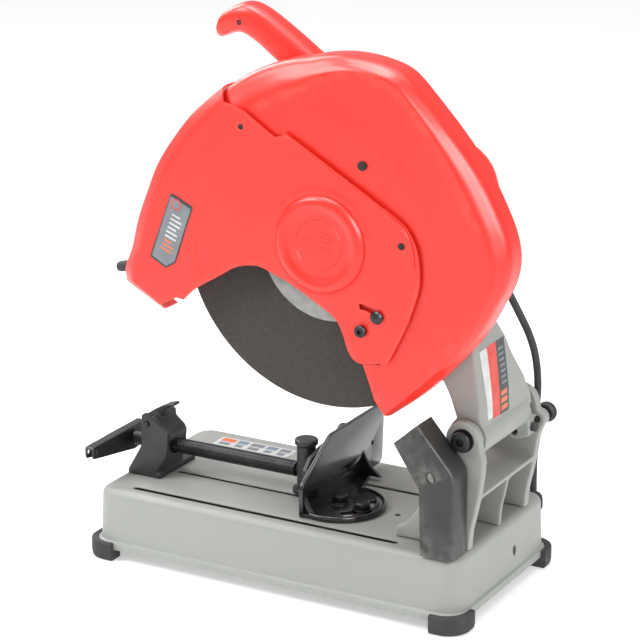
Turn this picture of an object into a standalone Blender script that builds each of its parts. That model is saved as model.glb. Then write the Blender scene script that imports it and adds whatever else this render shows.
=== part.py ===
"""Abrasive chop saw: a pressed steel base with a stand, a hinged head with motor, gears,
wheel and guards, a swivelling fence and a quick-release screw vise.

Frame: +Z up, the operator stands on the -Y side (front). The wheel side is +X ("near")
and the motor side is -X ("far"). The base stands on z = 0.
Sizes are in millimetres; to_metres() turns them into metres about the scene origin.
Outlines are (u, v) pairs across an axis: (y, z) for X, (x, z) for Y and (x, y) for Z.
Objects named u_ and c_ (and bolt heads and washers) are hidden helpers for booleans."""
import bpy
import bmesh
from math import cos, hypot, pi, radians, sin, sqrt
from mathutils import Matrix, Vector

for old_object in list(bpy.data.objects):
    bpy.data.objects.remove(old_object, do_unlink=True)


def point_at(centre, radius, degrees):
    angle = radians(degrees)
    return (centre[0] + radius * cos(angle), centre[1] + radius * sin(angle))


# ---------------------------------------------------------------- driving dimensions (mm)
ORIGIN_X, ORIGIN_Y = -12.95, 14.14    # under the middle of the saw's bounding box
GAP = 0.3                             # clearance between parts that nearly touch

BASE_HX, BASE_HY = 124.5, 235.0       # half width and half length over the base flange
BASE_CORNER = 25
FLANGE_Z, TABLE_Z = 12.0, 82.5
SEAT_Z = TABLE_Z + 0.4                # underside of the parts that stand on the table

# Small and large hexagon bolts: across flats, head height, shank radius, shank bottom z
SMALL_BOLT = dict(across=13, head_height=5.7, shank_r=4.0, shank_bottom=74)
LARGE_BOLT = dict(across=16, head_height=8.8, shank_r=5.0, shank_bottom=72)
SMALL_HOLE_R = SMALL_BOLT["shank_r"] + 0.4
LARGE_HOLE_R = LARGE_BOLT["shank_r"] + 0.4
STAND_BOLT_LEFT, STAND_BOLT_RIGHT = (-50, 150), (60, 150)      # (x, y)
VISE_BOLT_LEFT, VISE_BOLT_RIGHT = (-5.0, -200), (44.5, -203)

# Centres on axes along X are (y, z)
WHEEL = WHEEL_Y, WHEEL_Z = 62.6, 402.8
WHEEL_X = 96.6
WHEEL_R, WHEEL_T, WHEEL_BORE = 177.8, 3.2, 13.0
WHEEL_X0, WHEEL_X1 = WHEEL_X - WHEEL_T / 2, WHEEL_X + WHEEL_T / 2
PIVOT = PIVOT_Y, PIVOT_Z = 217.5, 207.5
GEAR_MODULE, TEETH_GEAR, TEETH_PINION = 1.5, 62, 12
GEAR_CENTRES = GEAR_MODULE * (TEETH_GEAR + TEETH_PINION) / 2
MOTOR_DEG = 28.9                      # direction from the wheel axis to the motor axis
MOTOR = MOTOR_Y, MOTOR_Z = point_at(WHEEL, GEAR_CENTRES, MOTOR_DEG)
MOTOR_R, MOTOR_END = 60.0, -112.0
BRUSH_X = -80

LUG_R, LUG_DEG, HEAD_TRAVEL_DEG = 27.3, -80.8, 41
LUG = point_at(PIVOT, LUG_R, LUG_DEG)
# the pin meets the lug hole when the head is down
LOCK_PIN = PIN_Y, PIN_Z = point_at(PIVOT, LUG_R, LUG_DEG + HEAD_TRAVEL_DEG)

FENCE_Y, FENCE_T, FENCE_TOP = 20.0, 5.0, 160.0
FENCE_PIVOT = (34.0, 44.0)            # (x, y)
FENCE_SLOT_R = 34.0
FENCE_LOCK = point_at(FENCE_PIVOT, FENCE_SLOT_R, 75)

SCREW = SCREW_X, SCREW_Z = 21.5, 112.0
POST_Y = -6.5
POST = (SCREW_X, POST_Y)
HALF_NUT_HINGE = (-195.0, 147.5)

HUB = HUB_Y, HUB_Z = WHEEL_Y + 3.9, WHEEL_Z + 10.2    # axis of the lower guard
LATCH = LATCH_Y, LATCH_Z = 116.5, 325.4               # guard latch screw
LATCH_KNOB = (LATCH_Y + 18.9, LATCH_Z + 17.8)
GUARD_SCREW = (114.3, 502.5)
HANDLE_X = 30.0                       # plane where the handle halves meet
SPINDLE_LOCK = (55.0, WHEEL_Y)        # (x, y)
LOCK_BUTTON = (22, 567)


# ---------------------------------------------------------------- materials
# key: (base colour, roughness, metallic)
MATERIALS = {
    "red": ((0.80, 0.055, 0.04), 0.38, 0.0),
    "grey": ((0.40, 0.41, 0.395), 0.5, 0.0),
    "cast": ((0.42, 0.43, 0.41), 0.55, 0.1),
    "bracket": ((0.055, 0.055, 0.052), 0.45, 0.2),
    "black": ((0.012, 0.012, 0.012), 0.2, 0.0),
    "castblack": ((0.02, 0.02, 0.02), 0.45, 0.0),
    "rubber": ((0.03, 0.031, 0.033), 0.8, 0.0),
    "steel": ((0.45, 0.45, 0.46), 0.35, 1.0),
    "blacksteel": ((0.06, 0.06, 0.062), 0.4, 0.9),
    "zinc": ((0.62, 0.61, 0.58), 0.3, 1.0),
    "abrasive": ((0.05, 0.043, 0.038), 0.95, 0.0),
    "copper": ((0.6, 0.22, 0.09), 0.35, 0.9),
    "plastic": ((0.03, 0.03, 0.03), 0.5, 0.0),
}


def make_material(name, colour, roughness, metallic):
    mat = bpy.data.materials.new(name)
    mat.use_nodes = True
    shader = mat.node_tree.nodes["Principled BSDF"]
    shader.inputs["Base Color"].default_value = (*colour, 1)
    shader.inputs["Roughness"].default_value = roughness
    shader.inputs["Metallic"].default_value = metallic
    mat.diffuse_color = (*colour, 1)
    return mat


# ---------------------------------------------------------------- outlines
def polar(centre, pairs):
    """pairs: (degrees, radius) about the centre."""
    return [point_at(centre, radius, degrees) for degrees, radius in pairs]


def arc(centre, radius, degrees):
    return polar(centre, [(angle, radius) for angle in degrees])


def circle(centre, radius, sides):
    u, v = centre
    return [(u + radius * cos(2 * pi * i / sides), v + radius * sin(2 * pi * i / sides))
            for i in range(sides)]


def hexagon(centre, across):
    return circle(centre, across / sqrt(3), 6)


def rounded_rect(half_u, half_v, radius):
    steps = 5
    points = []
    for side_u, side_v, start in ((1, 1, 0), (-1, 1, 90), (-1, -1, 180), (1, -1, 270)):
        corner = (side_u * (half_u - radius), side_v * (half_v - radius))
        points += arc(corner, radius, [start + 90 * i / steps for i in range(steps + 1)])
    return points


def hull(points):
    """Convex outline round the points."""
    ordered = sorted(set((round(u, 4), round(v, 4)) for u, v in points))

    def turn(first, second, third):
        return ((second[0] - first[0]) * (third[1] - first[1])
                - (second[1] - first[1]) * (third[0] - first[0]))

    def half(sequence):
        chain = []
        for point in sequence:
            while len(chain) > 1 and turn(chain[-2], chain[-1], point) <= 0:
                chain.pop()
            chain.append(point)
        return chain
    return half(ordered)[:-1] + half(ordered[::-1])[:-1]


# ---------------------------------------------------------------- solids
def to_metres(x, y, z):
    return ((x - ORIGIN_X) * 0.001, (y - ORIGIN_Y) * 0.001, z * 0.001)


def on_axis(axis, height, u, v):
    return {"X": (height, u, v), "Y": (u, height, v), "Z": (u, v, height)}[axis]


def add_mesh(name, verts, faces, key=None, smooth=True):
    """Links a mesh object; key picks its material, and helpers have none."""
    mesh = bpy.data.meshes.new(name)
    mesh.from_pydata([to_metres(*vert) for vert in verts], [], faces)
    mesh.update()
    bm = bmesh.new()
    bm.from_mesh(mesh)
    bmesh.ops.recalc_face_normals(bm, faces=bm.faces)
    bm.to_mesh(mesh)
    bm.free()
    if smooth:
        mesh.shade_smooth()
        mesh.set_sharp_from_angle(angle=radians(35))
    ob = bpy.data.objects.new(name, mesh)
    bpy.context.scene.collection.objects.link(ob)
    if key:
        mesh.materials.append(make_material(name + "_mat", *MATERIALS[key]))
    return ob


def bridge(start, end, count):
    """Quads between two closed loops of vertices that begin at the given indices."""
    return [(start + i, start + (i + 1) % count, end + (i + 1) % count, end + i)
            for i in range(count)]


def end_caps(count, loops):
    return [tuple(range(count))[::-1], tuple(range(count * (loops - 1), count * loops))]


def loft(name, axis, rings, key=None, smooth=True, split=False):
    """rings: (height along axis, outline), all outlines with the same number of points.
    split cuts the side quads into triangles."""
    count = len(rings[0][1])
    verts = [on_axis(axis, height, u, v) for height, outline in rings for u, v in outline]
    faces = end_caps(count, len(rings))
    for k in range(len(rings) - 1):
        for quad in bridge(k * count, (k + 1) * count, count):
            faces += [quad[:3], (quad[0], quad[2], quad[3])] if split else [quad]
    return add_mesh(name, verts, faces, key, smooth)


def prism(name, axis, outline, lo, hi, key=None, smooth=True):
    return loft(name, axis, [(lo, outline), (hi, outline)], key, smooth)


def box(name, x0, x1, y0, y1, z0, z1):
    return prism(name, "Z", [(x0, y0), (x1, y0), (x1, y1), (x0, y1)], z0, z1, smooth=False)


def cylinder(name, axis, centre, radius, lo, hi, key=None, sides=24):
    return prism(name, axis, circle(centre, radius, sides), lo, hi, key)


def lathe(name, axis, centre, profile, key=None, sides=28):
    """profile: closed loop of (radius, height along axis); radius 0 closes on the axis."""
    verts, loops = [], []
    for radius, height in profile:
        if radius < 1e-6:
            loops.append([len(verts)] * sides)
            verts.append(on_axis(axis, height, *centre))
        else:
            loops.append(list(range(len(verts), len(verts) + sides)))
            verts += [on_axis(axis, height, u, v) for u, v in circle(centre, radius, sides)]
    faces = []
    for k, loop in enumerate(loops):
        following = loops[(k + 1) % len(loops)]
        for i in range(sides):
            j = (i + 1) % sides
            # a corner that lies on the axis is listed once
            face = tuple(dict.fromkeys((loop[i], loop[j], following[j], following[i])))
            if len(face) > 2:
                faces.append(face)
    return add_mesh(name, verts, faces, key)


def ring(name, axis, centre, inner_r, outer_r, lo, hi, key=None, sides=32):
    profile = [(inner_r, lo), (outer_r, lo), (outer_r, hi), (inner_r, hi)]
    return lathe(name, axis, centre, profile, key, sides)


def round_bar(name, path, radius, sides, key):
    """A round bar along a list of (x, y, z) points, with flat ends."""
    path = [Vector(point) for point in path]
    verts, side = [], None
    for i, point in enumerate(path):
        along = (path[min(i + 1, len(path) - 1)] - path[max(i - 1, 0)]).normalized()
        if side is None:
            side = along.orthogonal().normalized()
        side = (side - along * side.dot(along)).normalized()
        up = along.cross(side)
        for k in range(sides):
            angle = 2 * pi * k / sides
            verts.append(tuple(point + side * radius * cos(angle) + up * radius * sin(angle)))
    faces = end_caps(sides, len(path))
    for k in range(len(path) - 1):
        faces += bridge(k * sides, (k + 1) * sides, sides)
    return add_mesh(name, verts, faces, key)


def add_boolean(ob, helper, operation):
    helper.hide_render = True
    helper.display_type = "WIRE"
    modifier = ob.modifiers.new(operation + "_" + helper.name, "BOOLEAN")
    modifier.operation = operation
    modifier.object = helper
    modifier.solver = "EXACT"


def cut(ob, *helpers):
    for helper in helpers:
        add_boolean(ob, helper, "DIFFERENCE")


def join(ob, *helpers):
    for helper in helpers:
        add_boolean(ob, helper, "UNION")


def bolt(name, centre, head_z, across, head_height, shank_r, shank_bottom, washer_r=None):
    """An upright hexagon bolt as one solid: shank, head and optional washer."""
    ob = cylinder(name, "Z", centre, shank_r, shank_bottom, 90, "zinc", 16)
    join(ob, prism(name + "_hd", "Z", hexagon(centre, across), head_z, head_z + head_height))
    if washer_r:
        join(ob, cylinder(name + "_ws", "Z", centre, washer_r, head_z, head_z + 1.4, sides=20))


# ================================================================= base and feet
# (z, inset from the flange edge, corner radius): up the outside, then down the inside
BASE_OUTER = [(FLANGE_Z, 0, BASE_CORNER), (20.5, 0, BASE_CORNER), (23.5, 3.4, 23),
              (74.0, 5.6, 21), (78.6, 6.9, 20), (81.5, 10.0, 17), (TABLE_Z, 14.0, 13)]
BASE_INNER = [(78.7, 12.4, 15), (73.0, 9.4, 18), (24.5, 7.2, 20), (FLANGE_Z, 4.0, 22)]
TABLE_CUT = (70, 90)                  # z range of cutters through the table
# (name, x, front y, rear y, width)
BASE_SLOTS = [("c_slot_wheel", WHEEL_X, -192, 150, 10), ("c_slot_nut", 27.6, -176, 84, 7),
              ("c_slot_far", -41.5, -192, 150, 8)]
# (centre, radius)
BASE_HOLES = [(FENCE_PIVOT, LARGE_HOLE_R), (FENCE_LOCK, LARGE_HOLE_R), ((24.3, 112.0), 3.0),
              (STAND_BOLT_LEFT, SMALL_HOLE_R), (STAND_BOLT_RIGHT, SMALL_HOLE_R),
              (VISE_BOLT_RIGHT, SMALL_HOLE_R), (VISE_BOLT_LEFT, SMALL_HOLE_R)]


def slot_cutter(name, x, y0, y1, width):
    radius = width / 2
    outline = arc((x, y1 - radius), radius, range(0, 181, 36))
    outline += arc((x, y0 + radius), radius, range(180, 361, 36))
    return prism(name, "Z", outline, *TABLE_CUT)


def build_base():
    """An open-bottomed pan: two nested skins, each with its own top, joined at the flange."""
    loops = [(z, rounded_rect(BASE_HX - inset, BASE_HY - inset, radius))
             for z, inset, radius in BASE_OUTER + BASE_INNER]
    count = len(loops[0][1])
    verts = [(x, y, z) for z, outline in loops for x, y in outline]
    faces = []
    for k in range(len(loops)):
        start, end = k * count, (k + 1) % len(loops) * count
        if k == len(BASE_OUTER) - 1:
            faces += [tuple(range(start, start + count)), tuple(range(end, end + count))]
        else:
            faces += bridge(start, end, count)
    base = add_mesh("base", verts, faces, "grey")
    cut(base, *[slot_cutter(*row) for row in BASE_SLOTS])
    for k, (centre, radius) in enumerate(BASE_HOLES):
        cut(base, cylinder("c_base_hole%d" % k, "Z", centre, radius, *TABLE_CUT, sides=12))
    # upright oval hole in the rear wall
    oval = [(-30 + 4.5 * cos(2 * pi * i / 14), 43.5 + 6.5 * sin(2 * pi * i / 14))
            for i in range(14)]
    cut(base, prism("c_base_rear", "Y", oval, 215, 240))


def build_foot(name, side_x, side_y):
    """A corner pad: outer corner rounded, inner corner cut off, recessed for the flange."""
    edge_x, edge_y = BASE_HX + 6.3, BASE_HY + 6.3
    size, chamfer_start, radius = 38, 20, 27.0
    outline = [(edge_x - size, edge_y), (edge_x - size, edge_y - chamfer_start),
               (edge_x - chamfer_start, edge_y - size), (edge_x, edge_y - size)]
    outline += arc((edge_x - radius, edge_y - radius), radius, range(0, 91, 15))
    outline = [(side_x * x, side_y * y) for x, y in outline]
    sole = [(x * 0.992, y * 0.996) for x, y in outline]
    foot = loft(name, "Z", [(0, sole), (3.0, outline), (21.5, outline)], "rubber")
    recess = rounded_rect(BASE_HX + GAP, BASE_HY + GAP, BASE_CORNER + GAP)
    cut(foot, prism("c_" + name, "Z", recess, FLANGE_Z - GAP, 40))


def build_feet():
    for end, side_y in (("front", -1), ("rear", 1)):
        for side, side_x in (("right", 1), ("left", -1)):
            build_foot("foot_%s_%s" % (end, side), side_x, side_y)


# ================================================================= pivot stand
WALL_NEAR, WALL_FAR = (71.5, 82.0), (-73.0, -62.0)    # x ranges
WALL_BOSS_R, PIN_BOSS_R = 20.5, 10.5
PIVOT_BORE_R, PIVOT_SHAFT_R = 9.0, 8.7
TOE_TOP = 89.0
# Wall edges (y, z): up the rear, down the front
WALL_REAR = [(227.0, SEAT_Z), (228.6, 104), (233.4, 125), (237.6, 146), (241.0, 170),
             (242.0, 186)]
WALL_FRONT = [(190, 178), (178, 148), (164, 118), (150, 100), (140, 95), (138, SEAT_Z)]
STAND_RIB = [(167, SEAT_Z), (225.6, SEAT_Z), (227.2, 104), (231.8, 125), (235.2, 142),
             (167, 142)]


def build_stand():
    near = WALL_REAR + arc(PIVOT, WALL_BOSS_R, range(-10, 201, 15)) + WALL_FRONT
    far = WALL_REAR[:5] + arc(LOCK_PIN, PIN_BOSS_R, range(-50, 81, 26))
    far += arc(PIVOT, WALL_BOSS_R, range(20, 201, 15)) + WALL_FRONT
    stand = prism("pivot_stand", "X", near, *WALL_NEAR, "cast")
    join(stand, prism("u_far_wall", "X", far, *WALL_FAR),
         box("u_shelf", -63, 73, 166, 236.4, 140.5, 146.0),
         box("u_front_web", -63, 73, 163, 169, SEAT_Z, 146.0),
         box("u_toe", -63, 73, 138.4, 164, SEAT_Z, TOE_TOP),
         prism("u_rib", "X", STAND_RIB, -3.5, 1.5),
         cylinder("u_pin_boss", "X", LOCK_PIN, PIN_BOSS_R, -76.0, -62.5))
    cut(stand, cylinder("c_pivot_bore", "X", PIVOT, PIVOT_BORE_R, -90, 100),
        cylinder("c_pin_bore", "X", LOCK_PIN, 4.3, -90, -50, sides=16),
        cylinder("c_st_a", "Z", STAND_BOLT_LEFT, SMALL_HOLE_R, 80, 95, sides=12),
        cylinder("c_st_b", "Z", STAND_BOLT_RIGHT, SMALL_HOLE_R, 80, 95, sides=12))
    bolt("stand_bolt_left", STAND_BOLT_LEFT, TOE_TOP + GAP, **SMALL_BOLT, washer_r=9.0)
    bolt("stand_bolt_right", STAND_BOLT_RIGHT, TOE_TOP + GAP, **SMALL_BOLT, washer_r=9.0)


def build_pivot_shaft():
    """The shaft, with a socket head on the wheel side, and its nut on the motor side."""
    shaft = cylinder("pivot_shaft", "X", PIVOT, PIVOT_SHAFT_R, -89, 84, "blacksteel")
    join(shaft, cylinder("u_shaft_head", "X", PIVOT, 11.0, 82.4, 90.5))
    cut(shaft, prism("c_shaft_hex", "X", hexagon(PIVOT, 9.0), 86.5, 95))
    nut = prism("pivot_nut", "X", hexagon(PIVOT, 24.0), -84.0, -73.4, "zinc", False)
    cut(nut, cylinder("c_nut", "X", PIVOT, PIVOT_BORE_R, -95, -60))


def build_head_spring():
    """A coil round the pivot shaft at the arm's far end, with two straight legs."""
    radius, start_x, length = 15.4, -60.7, 15.4
    steps_per_turn, steps = 10, 50
    path = [(start_x, PIVOT_Y - 26, PIVOT_Z - radius)]
    for i in range(steps + 1):
        angle = 2 * pi * i / steps_per_turn - pi / 2
        path.append((start_x + length * i / steps,
                     PIVOT_Y + radius * cos(angle), PIVOT_Z + radius * sin(angle)))
    path.append((path[-1][0], PIVOT_Y + 7, PIVOT_Z - 15.5))
    round_bar("head_spring", path, 1.0, 5, "steel")


# ================================================================= spark deflector
DEFLECTOR_X0, DEFLECTOR_X1, DEFLECTOR_T = 82.6, 119.5, 2.6
DEFLECTOR_REAR = 225.5
DEFLECTOR_SIDE = [(187.0, SEAT_Z), (DEFLECTOR_REAR, SEAT_Z), (DEFLECTOR_REAR, 179.5),
                  (181.5, 229.8), (154.0, 205.2), (184.5, 160.0)]
DEFLECTOR_HOLLOW = [(180.0, 70), (DEFLECTOR_REAR - DEFLECTOR_T, 70),
                    (DEFLECTOR_REAR - DEFLECTOR_T, 178.6), (176.0, 232.0), (140.0, 200.0),
                    (176.0, 160.0)]


def build_deflector():
    """A bent channel, open to the front."""
    deflector = prism("spark_deflector", "X", DEFLECTOR_SIDE, DEFLECTOR_X0, DEFLECTOR_X1,
                      "bracket", False)
    cut(deflector, prism("c_defl", "X", DEFLECTOR_HOLLOW, DEFLECTOR_X0 + DEFLECTOR_T,
                         DEFLECTOR_X1 - DEFLECTOR_T),
        cylinder("c_defl_hole", "X", (199.0, 173.5), 5.5, 110, 130, sides=20))


# ================================================================= fence
FENCE_FACE = [(-100, 88.0), (-105, 92), (-108, 143), (-96, FENCE_TOP), (20, FENCE_TOP),
              (84, 121), (86.5, 116), (86.5, SEAT_Z), (-62, SEAT_Z), (-72, 86)]    # (x, z)
FENCE_FOOT_TOP = 88.4


def build_fence():
    fence = prism("fence", "Y", FENCE_FACE, FENCE_Y, FENCE_Y + FENCE_T, "black", False)
    foot = [(86.0, FENCE_Y + 1)] + arc(FENCE_PIVOT, 52.0, range(-12, 181, 12))
    foot += [(-62, FENCE_Y + 12), (-62, FENCE_Y + 1)]
    web_y = FENCE_Y + 4
    join(fence, prism("u_fence_foot", "Z", foot, SEAT_Z, FENCE_FOOT_TOP),
         prism("u_fence_web_a", "X", [(web_y, 87), (46, 87), (web_y, 128)], -60, -56),
         prism("u_fence_web_b", "X", [(web_y, 87), (40, 87), (web_y, 118)], 78, 82))
    lock_slot = arc(FENCE_PIVOT, FENCE_SLOT_R + 5.5, range(28, 131, 6))
    lock_slot += arc(FENCE_PIVOT, FENCE_SLOT_R - 5.5, range(130, 27, -6))
    cut(fence, cylinder("c_fence_pivot", "Z", FENCE_PIVOT, LARGE_HOLE_R, 75, 100, sides=16),
        prism("c_fence_arc", "Z", lock_slot, 75, 100),
        cylinder("c_fence_face", "Y", (-79, 119), 2.6, 0, 60, sides=12))
    bolt("fence_pivot_bolt", FENCE_PIVOT, FENCE_FOOT_TOP + GAP, **LARGE_BOLT, washer_r=11)
    bolt("fence_lock_bolt", FENCE_LOCK, FENCE_FOOT_TOP + GAP, **LARGE_BOLT, washer_r=11)


# ================================================================= vise
VISE_CUT = (-230, -150)               # y range of cutters through the bracket
VISE_SOLE_TOP = 88.5
HINGE_PIN_R = 3.0
SCREW_CHANNEL_R = 10.2
CRANK_Y0, CRANK_Y1, CRANK_WALL = -250.0, -238.5, 2.2
CRANK_CUT = (-270, -230)
JAW_LUG_R = 16.0
# Outlines (y, z)
BRACKET_NEAR = [(-222.0, SEAT_Z), (-182.0, SEAT_Z), (-183.5, 90), (-171.0, 108),
                (-167.5, 122), (-166.5, 141), (-198.5, 160), (-202.5, 157), (-203.5, 120),
                (-222.0, 88)]
BRACKET_FAR = [(-212.0, 86), (-182.0, 86), (-181, 118), (-181.5, 128), (-189.5, 139),
               (-190, 150), (-193, 152.5), (-198, 152.5), (-202, 148), (-204, 120)]
BRACKET_BODY = [(-200.5, 87), (-180.5, 87), (-180.5, 124.5), (-200.5, 124.5)]
HALF_NUT = [(-199.5, 140), (-199.5, 150), (-195, 153), (-189, 149.5), (-174, 137),
            (-171.5, 132), (-171.5, 125.5), (-199.5, 125.5)]
HALF_NUT_SADDLE = [(-198, 113.5), (-172, 113.5), (-172, 128), (-198, 128)]
HALF_NUT_LEVER = [(-203, 146.5), (-214, 143), (-216, 146.5), (-198, 158.5), (-184, 166),
                  (-174, 168.5), (-172.5, 165.6), (-184, 160.5), (-188, 147)]
# Outlines (x, z)
CRANK = [(-6, 104), (-2, 99), (SCREW_X, 96.5), (SCREW_X + 14, 99), (106, 110.5),
         (108, 112.5), (108, 123.5), (106.5, 125), (-2, 126), (-6, 123)]
CRANK_HOLLOW = [(SCREW_X + 13, 88), (112, 104), (112, 122.0), (SCREW_X + 13, 122.8)]
JAW = [(-36, 92), (58, 92), (58, 126), (46, 138), (20, 144), (-18, 148), (-27, 155),
       (-36, 155)]
# Lathe profiles (radius, height along the axis)
SCREW_PROFILE = [(0, -249.5), (4.6, -249.5), (4.6, -236.5), (8.9, -236.0), (8.9, -19.0),
                 (5.2, -18.6), (5.2, -2), (0, -2)]
POST_PROFILE = [(0, 94), (11.0, 94), (11.0, 143), (13.6, 145), (13.6, 149.6), (12.0, 151),
                (0, 151)]


def hinge_cutter(name):
    return cylinder(name, "X", HALF_NUT_HINGE, HINGE_PIN_R + GAP, -30, 70, sides=16)


def build_vise_bracket():
    """Two upright plates on a sole, with an open-topped channel for the screw."""
    bracket = prism("vise_bracket", "X", BRACKET_NEAR, 55.5, 61.5, "castblack", False)
    join(bracket, prism("u_vb_far", "X", BRACKET_FAR, 5.0, 10.8),
         box("u_vb_sole", -16.5, 61.5, -222, -178.0, SEAT_Z, VISE_SOLE_TOP),
         prism("u_vb_body", "X", BRACKET_BODY, 8, 59))
    cut(bracket, cylinder("c_vb_screw", "Y", SCREW, SCREW_CHANNEL_R, *VISE_CUT),
        box("c_vb_top", SCREW_X - SCREW_CHANNEL_R, SCREW_X + SCREW_CHANNEL_R, *VISE_CUT,
            SCREW_Z, 140),
        hinge_cutter("c_vb_pin"),
        cylinder("c_vb_b1", "Z", VISE_BOLT_RIGHT, SMALL_HOLE_R, 75, 100, sides=12),
        cylinder("c_vb_b2", "Z", VISE_BOLT_LEFT, SMALL_HOLE_R, 75, 100, sides=12),
        box("c_vb_seat1", 36.5, 52.5, -212, -194, VISE_SOLE_TOP, 130))
    bolt("vise_bolt_right", VISE_BOLT_RIGHT, VISE_SOLE_TOP + GAP, **SMALL_BOLT)
    bolt("vise_bolt_left", VISE_BOLT_LEFT, VISE_SOLE_TOP + GAP, **SMALL_BOLT)


def build_half_nut():
    """Sits over the screw, hinged on a cross pin, with a lever to lift it."""
    half_nut = prism("half_nut", "X", HALF_NUT, 12.0, 50.0, "castblack", False)
    join(half_nut,
         prism("u_hn_saddle", "X", HALF_NUT_SADDLE, SCREW_X - 9.4, SCREW_X + 9.4),
         prism("u_hn_lever", "X", HALF_NUT_LEVER, 24, 38))
    cut(half_nut, cylinder("c_hn_screw", "Y", SCREW, 9.3, *VISE_CUT),
        hinge_cutter("c_hn_pin"))
    cylinder("half_nut_pin", "X", HALF_NUT_HINGE, HINGE_PIN_R, 3.0, 63.5, "zinc", 16)


def build_screw_and_crank():
    lathe("vise_screw", "Y", SCREW, SCREW_PROFILE, "blacksteel", 20)
    crank = prism("crank", "Y", CRANK, CRANK_Y0, CRANK_Y1, "castblack", False)
    cut(crank, prism("c_crank", "Y", CRANK_HOLLOW, CRANK_Y0 + CRANK_WALL,
                     CRANK_Y1 - CRANK_WALL),
        cylinder("c_crank_hub", "Y", SCREW, 4.9, *CRANK_CUT, sides=16),
        cylinder("c_crank_end", "Y", (102.5, 117.5), 2.6, *CRANK_CUT, sides=12))


def build_post_and_jaw():
    """The post takes the screw's end; its bottom pin stands in the jaw's lug."""
    post = lathe("vise_post", "Z", POST, POST_PROFILE, "castblack", 20)
    cut(post, cylinder("c_post", "Y", SCREW, 5.5, -40, 2, sides=16))
    join(post, cylinder("u_post_pin", "Z", POST, 5.5, 85.0, 95, sides=16))
    jaw = prism("vise_jaw", "Y", JAW, 8.2, 14.0, "castblack", False)
    lug_x0, lug_x1 = SCREW_X - JAW_LUG_R, SCREW_X + JAW_LUG_R
    lug = arc(POST, JAW_LUG_R, range(180, 361, 20)) + [(lug_x1, 9), (lug_x0, 9)]
    join(jaw, prism("u_jaw_low", "Z", lug, 86.0, 92.4),
         box("u_jaw_web", lug_x0, lug_x1, 5, 9, 86, 93))
    cut(jaw, cylinder("c_jaw_pin", "Z", POST, 5.5 + GAP, 80, 99, sides=16))


# ================================================================= head: arm and gear case
# (z, front y, rear y, far x, near x): the column leans forward and narrows upwards
ARM_STATIONS = [
    (199, 199, 236.5, -59.3, 70), (222, 203, 236.0, -56, 70), (250, 193, 234.0, -40, 70),
    (280, 176, 229.5, -18, 70), (303, 158, 226.0, -6, 70), (335, 128, 211.0, 5, 70),
    (340, 123, 208, 8, 63.5), (366, 108, 187.0, 32, 63.5), (385, 92, 168.0, 32, 63.5)]
ARM_CHAMFER = 5.0


def gear_case(wheel_end_r, motor_end_r):
    return hull(circle(WHEEL, wheel_end_r, 32) + circle(MOTOR, motor_end_r, 24))


CASE_OUTLINE, CASE_HOLLOW = gear_case(56, 36), gear_case(51, 30)


def chamfered_rect(x0, x1, y0, y1, chamfer):
    return [(x0 + chamfer, y0), (x1 - chamfer, y0), (x1, y0 + chamfer), (x1, y1 - chamfer),
            (x1 - chamfer, y1), (x0 + chamfer, y1), (x0, y1 - chamfer), (x0, y0 + chamfer)]


def build_arm():
    arm = loft("arm", "Z", [(z, chamfered_rect(x0, x1, y0, y1, ARM_CHAMFER))
                            for z, y0, y1, x0, x1 in ARM_STATIONS], "cast")
    lug = arc(PIVOT, 19.4, range(-30, -106, -15)) + arc(LUG, 8.6, range(-165, -74, 18))
    lug += [(232, 174), (240.4, 178), (240.4, 197)]
    join(arm, cylinder("u_barrel", "X", PIVOT, 23.0, -42.5, 70.0, sides=28),
         prism("u_case", "X", CASE_OUTLINE, 31.5, 63.7),
         prism("u_lug", "X", lug, -59.3, -38))
    cut(arm, cylinder("c_barrel", "X", PIVOT, PIVOT_BORE_R, -80, 90),
        prism("c_case", "X", CASE_HOLLOW, 46.5, 80),
        ring("c_neck", "X", PIVOT, 0.01, 18.4, -70, -42.4),
        cylinder("c_rear_brg", "X", WHEEL, 17.8, 34.6, 60),
        cylinder("c_front_brg", "X", MOTOR, 15.3, 20, 60),
        cylinder("c_lug", "X", LUG, 4.6, -70, -30, sides=14),
        box("c_lug_notch", -62, -53.6, PIN_Y - 4.9, 250, PIN_Z - 4.9, PIN_Z + 4.9),
        cylinder("c_lock", "Z", SPINDLE_LOCK, 3.3, 440, 480, sides=14))


def build_gear_cover():
    cover = prism("gear_cover", "X", CASE_OUTLINE, 64.0, 70.0, "cast")
    join(cover, cylinder("u_cover_boss", "X", WHEEL, 27, 64.0, 79.0, sides=32))
    cut(cover, cylinder("c_cover_brg", "X", WHEEL, 20.3, 60, 74.5),
        cylinder("c_cover_hole", "X", WHEEL, 12.0, 70, 90))


def build_arm_small_parts():
    # rubber stop that meets the stand when the head is up
    lathe("arm_bumper", "Y", (-46.4, 187.0),
          [(0, 240.8), (5.2, 240.8), (5.2, 245), (4.2, 246.5), (0, 246.5)], "rubber", 16)
    # push pin on top of the gear case
    lathe("spindle_lock", "Z", SPINDLE_LOCK,
          [(0, 456.2), (3.0, 456.2), (3.0, 465), (7.0, 465), (7.0, 469), (6.0, 470),
           (0, 470)], "plastic", 16)


# ================================================================= wheel shaft group
# Lathe profiles (radius, x)
SPINDLE_PROFILE = [(5.4, 60), (5.4, 94.2), (11.5, 94.2), (11.5, 74.8), (8.0, 74.8), (8.0, 35),
                   (0, 35), (0, 60)]
INNER_FLANGE_PROFILE = [(11.8, 86.5), (27, 86.5), (30, 89.5), (30, 94.7), (11.8, 94.7)]
OUTER_FLANGE_PROFILE = [(5.4, 95.0), (12.7, 95.0), (12.7, WHEEL_X1 + GAP),
                        (30, WHEEL_X1 + GAP), (30, 102.5), (26, 104.5), (5.4, 104.5)]
# Gear teeth: tip and root distance from the pitch circle in modules, and half widths
# at root and tip in pitches
TOOTH_ABOVE, TOOTH_BELOW = 0.85, 1.2
ROOT_HALF, TIP_HALF = 0.335, 0.12


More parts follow.
